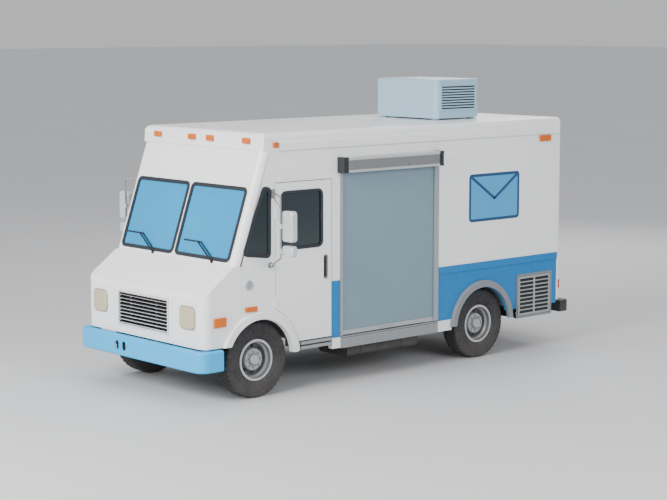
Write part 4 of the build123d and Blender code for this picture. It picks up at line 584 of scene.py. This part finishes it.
low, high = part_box("grille")
middle = (low + high) / 2
mesh_black = finish_of("grille_mesh", (0.012, 0.012, 0.014), rough=0.7, vary=0.2, grain=120, bump=0.8)
backing = rounded_plate((0, high.y + 0.006, middle.z), high.x - low.x - 0.02, high.z - low.z - 0.02, 0.010,
                        0.004, "-y", edge=0.001)
fitted(backing, "grille_backing", mesh_black, "van_body")
LAMP_MIDDLE = 0.123  # in from the lamp's outer edge
low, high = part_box("headlights")
rim_paint = finish_of("lamp_rim", (0.34, 0.32, 0.28), rough=0.3, vary=0.06, bump=0.05)
nose_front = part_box("nose")[0].y
for label, side in (("left", 1), ("right", -1)):
    centre = (side * (high.x - LAMP_MIDDLE), nose_front - 0.0005, (low.z + high.z) / 2)
    fitted(rounded_plate(centre, 0.268, 0.252, 0.064, 0.007, "-y", ring=0.011, edge=0.002),
           "headlight_rim_" + label, rim_paint, "van_body")

# ---------------------------------------------------------------- glass and rubbers
# Flat laminated windscreen panes with a pale blue tint, and dark tinted side
# glass, all held in black rubber; the door panes have a rubber of their own.
SCREEN_TINT = (0.006, 0.300, 0.600)
SIDE_TINT = (0.008, 0.022, 0.030)
RUBBER_WIDTH = 0.030
window_glass = finish_of("window_glass", SCREEN_TINT, rough=0.10, coat=0.5, vary=0.10, patch=0.9, grain=3,
                         bump=0.01, steps=[("|X", 1.0, SIDE_TINT)], alpha=0.90)
side_glass = finish_of("side_glass", SIDE_TINT, rough=0.06, coat=1.0, vary=0.15, patch=0.9, grain=3,
                       bump=0.01, alpha=0.88)
rubber_black = finish_of("window_rubber", (0.014, 0.018, 0.026), rough=0.55, vary=0.12, grain=700, bump=0.15)
dress("fixed_glass", window_glass)
dress("window_rubbers", rubber_black)
for label, side in (("left", 1), ("right", -1)):
    dress("cab_glass_" + label, side_glass)
    low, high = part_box("cab_glass_" + label)
    centre = (side * (half_width + 0.0003), (low.y + high.y) / 2, (low.z + high.z) / 2)
    facing = "+x" if side > 0 else "-x"
    rubber = rounded_plate(centre, high.y - low.y + RUBBER_WIDTH, high.z - low.z + RUBBER_WIDTH, 0.070, 0.007,
                           facing, ring=RUBBER_WIDTH, edge=0.003)
    fitted(rubber, "door_window_rubber_" + label, rubber_black, f"cab_door_{label}_body")

# ---------------------------------------------------------------- door handles
# A black moulded cup in each cab door's skin, with a rim round it and an upright
# pull bar across it.
HANDLE_BEHIND_AXLE = 0.930
HANDLE_Z = 1.3165
handle_black = finish_of("handle_plastic", (0.012, 0.012, 0.013), rough=0.45, vary=0.1, grain=800, bump=0.15)
low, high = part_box("tyre_front_left")
front_axle_y = (low.y + high.y) / 2
for label, side in (("left", 1), ("right", -1)):
    facing = "+x" if side > 0 else "-x"
    spot = (side * half_width, front_axle_y + HANDLE_BEHIND_AXLE, HANDLE_Z)
    fitted(rounded_plate(spot, 0.054, 0.263, 0.022, 0.004, facing, ring=0.007, edge=0.0015),
           "handle_rim_" + label, handle_black, f"cab_door_{label}_body")
    inner = (side * (half_width - 0.0255), spot[1], spot[2])
    fitted(rounded_plate(inner, 0.042, 0.251, 0.017, 0.002, facing, edge=0.0005),
           "handle_cup_" + label, handle_black, f"cab_door_{label}_body")
    grip = (side * (half_width - 0.014), spot[1], spot[2])
    bar = rounded_plate(grip, 0.018, 0.230, 0.008, 0.016, facing, edge=0.004)
    fitted(bar, "handle_bar_" + label, handle_black, f"cab_door_{label}_body")

# ---------------------------------------------------------------- emblem
# A plain envelope cut from sheet vinyl in two blues: a sheet, a border and the
# two edges of the flap, stuck on the side wall behind the shutter.
EMBLEM = Vector((half_width, front_axle_y + 3.58, 1.90))
decal_navy = finish_of("decal_navy", (0.008, 0.060, 0.165), rough=0.35, vary=0.04, bump=0.02)
decal_blue = finish_of("decal_blue", (0.050, 0.330, 0.640), rough=0.35, vary=0.04, bump=0.02)
EMBLEM_W = 0.86
EMBLEM_H = 0.56
LINE_WIDTH = 0.034
FLAP_DROP = 0.28
SHEET_THICK = 0.0006
LINE_THICK = 0.0005
fitted(rounded_plate(EMBLEM, EMBLEM_W, EMBLEM_H, 0.05, SHEET_THICK, "+x"), "emblem_sheet", decal_blue,
       "van_body")
line_lift = Vector((SHEET_THICK, 0, 0))
fitted(rounded_plate(EMBLEM + line_lift, EMBLEM_W, EMBLEM_H, 0.05, LINE_THICK, "+x", ring=LINE_WIDTH),
       "emblem_border", decal_navy, "van_body")
for label, side in (("front", -1), ("rear", 1)):
    run = EMBLEM_W / 2 - 0.02
    length = math.hypot(run, FLAP_DROP)
    slope = math.atan2(FLAP_DROP, run) * side
    spot = EMBLEM + line_lift * 1.7 + Vector((0, side * run / 2, EMBLEM_H / 2 - 0.02 - FLAP_DROP / 2))
    fitted(rounded_plate(spot, length + 0.02, LINE_WIDTH, 0.015, LINE_THICK, "+x", turn=slope),
           "emblem_flap_" + label, decal_navy, "van_body")

# ---------------------------------------------------------------- roller shutter
# A curtain of shallow interlocked slats that rolls into a silver case over the
# doorway; channels guide it and a heavier bar ends it.
SLAT = 0.075
SLAT_RELIEF = 0.0007
SLAT_POINTS = 6
SHEET = 0.005
CAP_WIDTH = 0.066
shutter_grey = finish_of("shutter_slats", (0.175, 0.260, 0.320), rough=0.45, coat=0.05, vary=0.02, patch=1.2,
                         dust=0.12, bump=0.012)
low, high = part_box("shutter_curtain")
rows = int((high.z - low.z) / SLAT) * SLAT_POINTS
clear_selection()
bpy.ops.mesh.primitive_grid_add(x_subdivisions=1, y_subdivisions=rows, size=1)
curtain = bpy.context.object
for index, vertex in enumerate(curtain.data.vertices):
    row, column = divmod(index, 2)
    phase = (row % SLAT_POINTS) / SLAT_POINTS
    relief = SLAT_RELIEF * (1 - (2 * phase - 1) ** 6) if row % SLAT_POINTS else -SLAT_RELIEF
    vertex.co = (high.x - 2 * SLAT_RELIEF + relief, low.y + column * (high.y - low.y),
                 low.z + (high.z - low.z) * row / rows)
sheet = curtain.modifiers.new("sheet", "SOLIDIFY")
sheet.thickness = SHEET
sheet.offset = -1
bpy.ops.object.modifier_apply(modifier=sheet.name)
fitted(curtain, "shutter_slats", shutter_grey, "van_body")
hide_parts("shutter_curtain")
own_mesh(curtain)
dress("shutter_roller", shutter_grey)
bright = finish_of("brushed_alloy", (0.52, 0.54, 0.56), rough=0.35, metal=0.75, vary=0.08,
                   streak=(1, 30, 1), bump=0.05)
dress("shutter_bottom_bar", bright)
dress("shutter_guides", finish_of("guide_paint", (0.33, 0.37, 0.40), rough=0.4, metal=0.3, vary=0.05,
                                  dust=0.15))
case_low, case_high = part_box("shutter_case")
CAP_BLACK = (0.030, 0.031, 0.034)
dress("shutter_case", finish_of(
    "case_paint", (0.50, 0.51, 0.52), rough=0.35, metal=0.25, vary=0.05,
    steps=[("Z", case_low.z + 0.030, (0.20, 0.205, 0.21)), ("Z", case_high.z - 0.034, (0.56, 0.57, 0.58)),
           ("Y", case_high.y - CAP_WIDTH, CAP_BLACK)],
    inside=(case_low - Vector((0.01, 0.01, 0.01)),
            (case_high.x + 0.01, case_low.y + CAP_WIDTH, case_high.z + 0.01), CAP_BLACK)))

# ---------------------------------------------------------------- sills, flares, lamps and vent
# Alloy sill channels, rubbery wheel flares, white in front and grey behind, moulded
# amber and red lamps, and a grey louvred door over the rear locker, with painted
# shade between its louvres and inside the locker.
AMBER = (0.64, 0.130, 0.0)
TAIL_RED = (0.50, 0.040, 0.008)
FLARE_GREY = (0.19, 0.215, 0.24)
VENT_SHADE = (0.008, 0.008, 0.009)
dress("sills", finish_of("sill_alloy", (0.36, 0.38, 0.40), rough=0.45, metal=0.5, vary=0.08,
                         streak=(1, 30, 1), dust=0.3))
dress("wheel_flares", finish_of("flare_moulding", WHITE, rough=0.45, vary=0.03, dust=0.18, bump=0.12,
                                steps=[("Y", 0.2, FLARE_GREY)]))
dress("lamps", finish_of("lamp_amber", AMBER, rough=0.32, coat=0.15, vary=0.10, patch=25, grain=160,
                         bump=0.35, steps=[("Y", rear_face - 0.012, TAIL_RED)]))
bay_low, bay_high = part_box("vent_bay")
# Painted shade on the locker's inner faces, behind the frame's outer rim.
dress("vent_bay", finish_of("vent_frame", (0.19, 0.215, 0.235), rough=0.5, vary=0.05, dust=0.2, bump=0.1,
                            inside=(bay_low - Vector((0.1, 0.1, 0.1)),
                                    (bay_high.x - 0.018, bay_high.y + 0.1, bay_high.z + 0.1), VENT_SHADE)))
door_low, door_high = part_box("vent_door")
# Painted shade between and behind the louvres, inside the door's rim and outer face.
dress("vent_door", finish_of("vent_louvres", (0.30, 0.33, 0.35), rough=0.45, vary=0.05, dust=0.2, bump=0.1,
                             inside=((door_low.x - 0.1, door_low.y + 0.022, door_low.z + 0.022),
                                     (door_high.x - 0.016, door_high.y - 0.022, door_high.z - 0.022),
                                     VENT_SHADE)))
dress("fuel_cap", bright)

# ---------------------------------------------------------------- roof unit and mirrors
# A pale blue sheet-metal cooling unit on the roof with painted shade inside it, and silver
# moulded mirror heads on bare metal tube arms, each with two panes of glass facing back.
MAIN_PANE = ("main", 1.850, 0.320)
LOWER_PANE = ("lower", 1.5925, 0.115)
PANE_WIDTH = 0.152
PANE_MIDDLE = 0.0875  # in from the mirror's outer edge
unit_low, unit_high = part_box("roof_unit")
skin = Vector((0.010, 0.060, 0.030))
# Painted shade on the unit's inner faces, seen through its louvres.
dress("roof_unit", finish_of("unit_paint", (0.32, 0.49, 0.60), rough=0.42, coat=0.08, vary=0.03, bump=0.04,
                             inside=(unit_low + skin, unit_high - skin, (0.010, 0.012, 0.014))))
dress("mirror_arms", finish_of("arm_metal", (0.30, 0.31, 0.32), rough=0.35, metal=0.6, vary=0.08))
mirror_shell = finish_of("mirror_shell", (0.66, 0.68, 0.70), rough=0.22, metal=0.35, coat=0.4, vary=0.04,
                         bump=0.04)
mirror_glass = finish_of("mirror_glass", (0.75, 0.78, 0.80), rough=0.03, metal=1.0, vary=0.02, bump=0.0)
for label, side in (("left", 1), ("right", -1)):
    dress("mirror_" + label, mirror_shell)
    low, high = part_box("mirror_" + label)
    outer = high.x if side > 0 else low.x
    centre_x = outer - side * PANE_MIDDLE
    for name, z, height in (MAIN_PANE, LOWER_PANE):
        spot = (centre_x, high.y - 0.0068, z)
        fitted(rounded_plate(spot, PANE_WIDTH, height - 0.024, 0.026, 0.003, "+y", edge=0.001),
               f"mirror_glass_{name}_{label}", mirror_glass, f"mirror_{label}_body")

# ---------------------------------------------------------------- wipers
# Twin-link arms of black painted steel with a rubber blade, one for each pane
# of the windscreen.
wiper_black = finish_of("wiper_paint", (0.012, 0.012, 0.014), rough=0.5, vary=0.1)
dress("wiper_left", wiper_black)
dress("wiper_right", wiper_black)

# ---------------------------------------------------------------- floor, light and camera
# A pale studio floor, soft light from above and ahead, and a long lens low on
# the front left corner.
clear_selection()
bpy.ops.mesh.primitive_plane_add(size=400)
ground = bpy.context.object
ground.name = "studio_floor"
floor_grey = finish_of("studio_floor", (0.56, 0.565, 0.575), rough=0.8, vary=0.01, patch=0.05, bump=0.0)
ground.data.materials.append(floor_grey)


def soft_light(name, spot, aim, size, power):
    """Rectangular lamp at spot that points to aim."""
    data = bpy.data.lights.new(name, "AREA")
    data.shape = "RECTANGLE"
    data.size, data.size_y = size
    data.energy = power
    lamp = bpy.data.objects.new(name, data)
    lamp.location = spot
    lamp.rotation_euler = (Vector(aim) - Vector(spot)).to_track_quat("-Z", "Y").to_euler()
    bpy.context.collection.objects.link(lamp)


soft_light("key", (2.0, -13.0, 7.0), (0, -1.0, 1.2), (7, 5), 2600)
soft_light("side", (13.0, -1.0, 6.0), (0, 0.5, 1.2), (8, 5), 900)
overhead = bpy.data.lights.new("overhead", "SUN")
overhead.energy = 0.75
overhead.angle = math.radians(60)
sun = bpy.data.objects.new("overhead", overhead)
bpy.context.collection.objects.link(sun)
soft_light("back", (-6.0, 11.0, 7.0), (0, 1.0, 1.5), (6, 4), 500)
world = bpy.data.worlds.new("studio")
world.use_nodes = True
world.node_tree.nodes["Background"].inputs["Color"].default_value = (0.84, 0.85, 0.87, 1)
world.node_tree.nodes["Background"].inputs["Strength"].default_value = 0.70
bpy.context.scene.world = world

AIM = Vector((-0.035, -0.061, 1.295))
camera_data = bpy.data.cameras.new("camera")
camera_data.lens = 94.70
camera_data.sensor_width = 36.0
camera = bpy.data.objects.new("camera", camera_data)
camera.location = (15.0873, -13.5788, 3.9489)
camera.rotation_euler = (AIM - camera.location).to_track_quat("-Z", "Y").to_euler()
bpy.context.collection.objects.link(camera)
bpy.context.scene.camera = camera
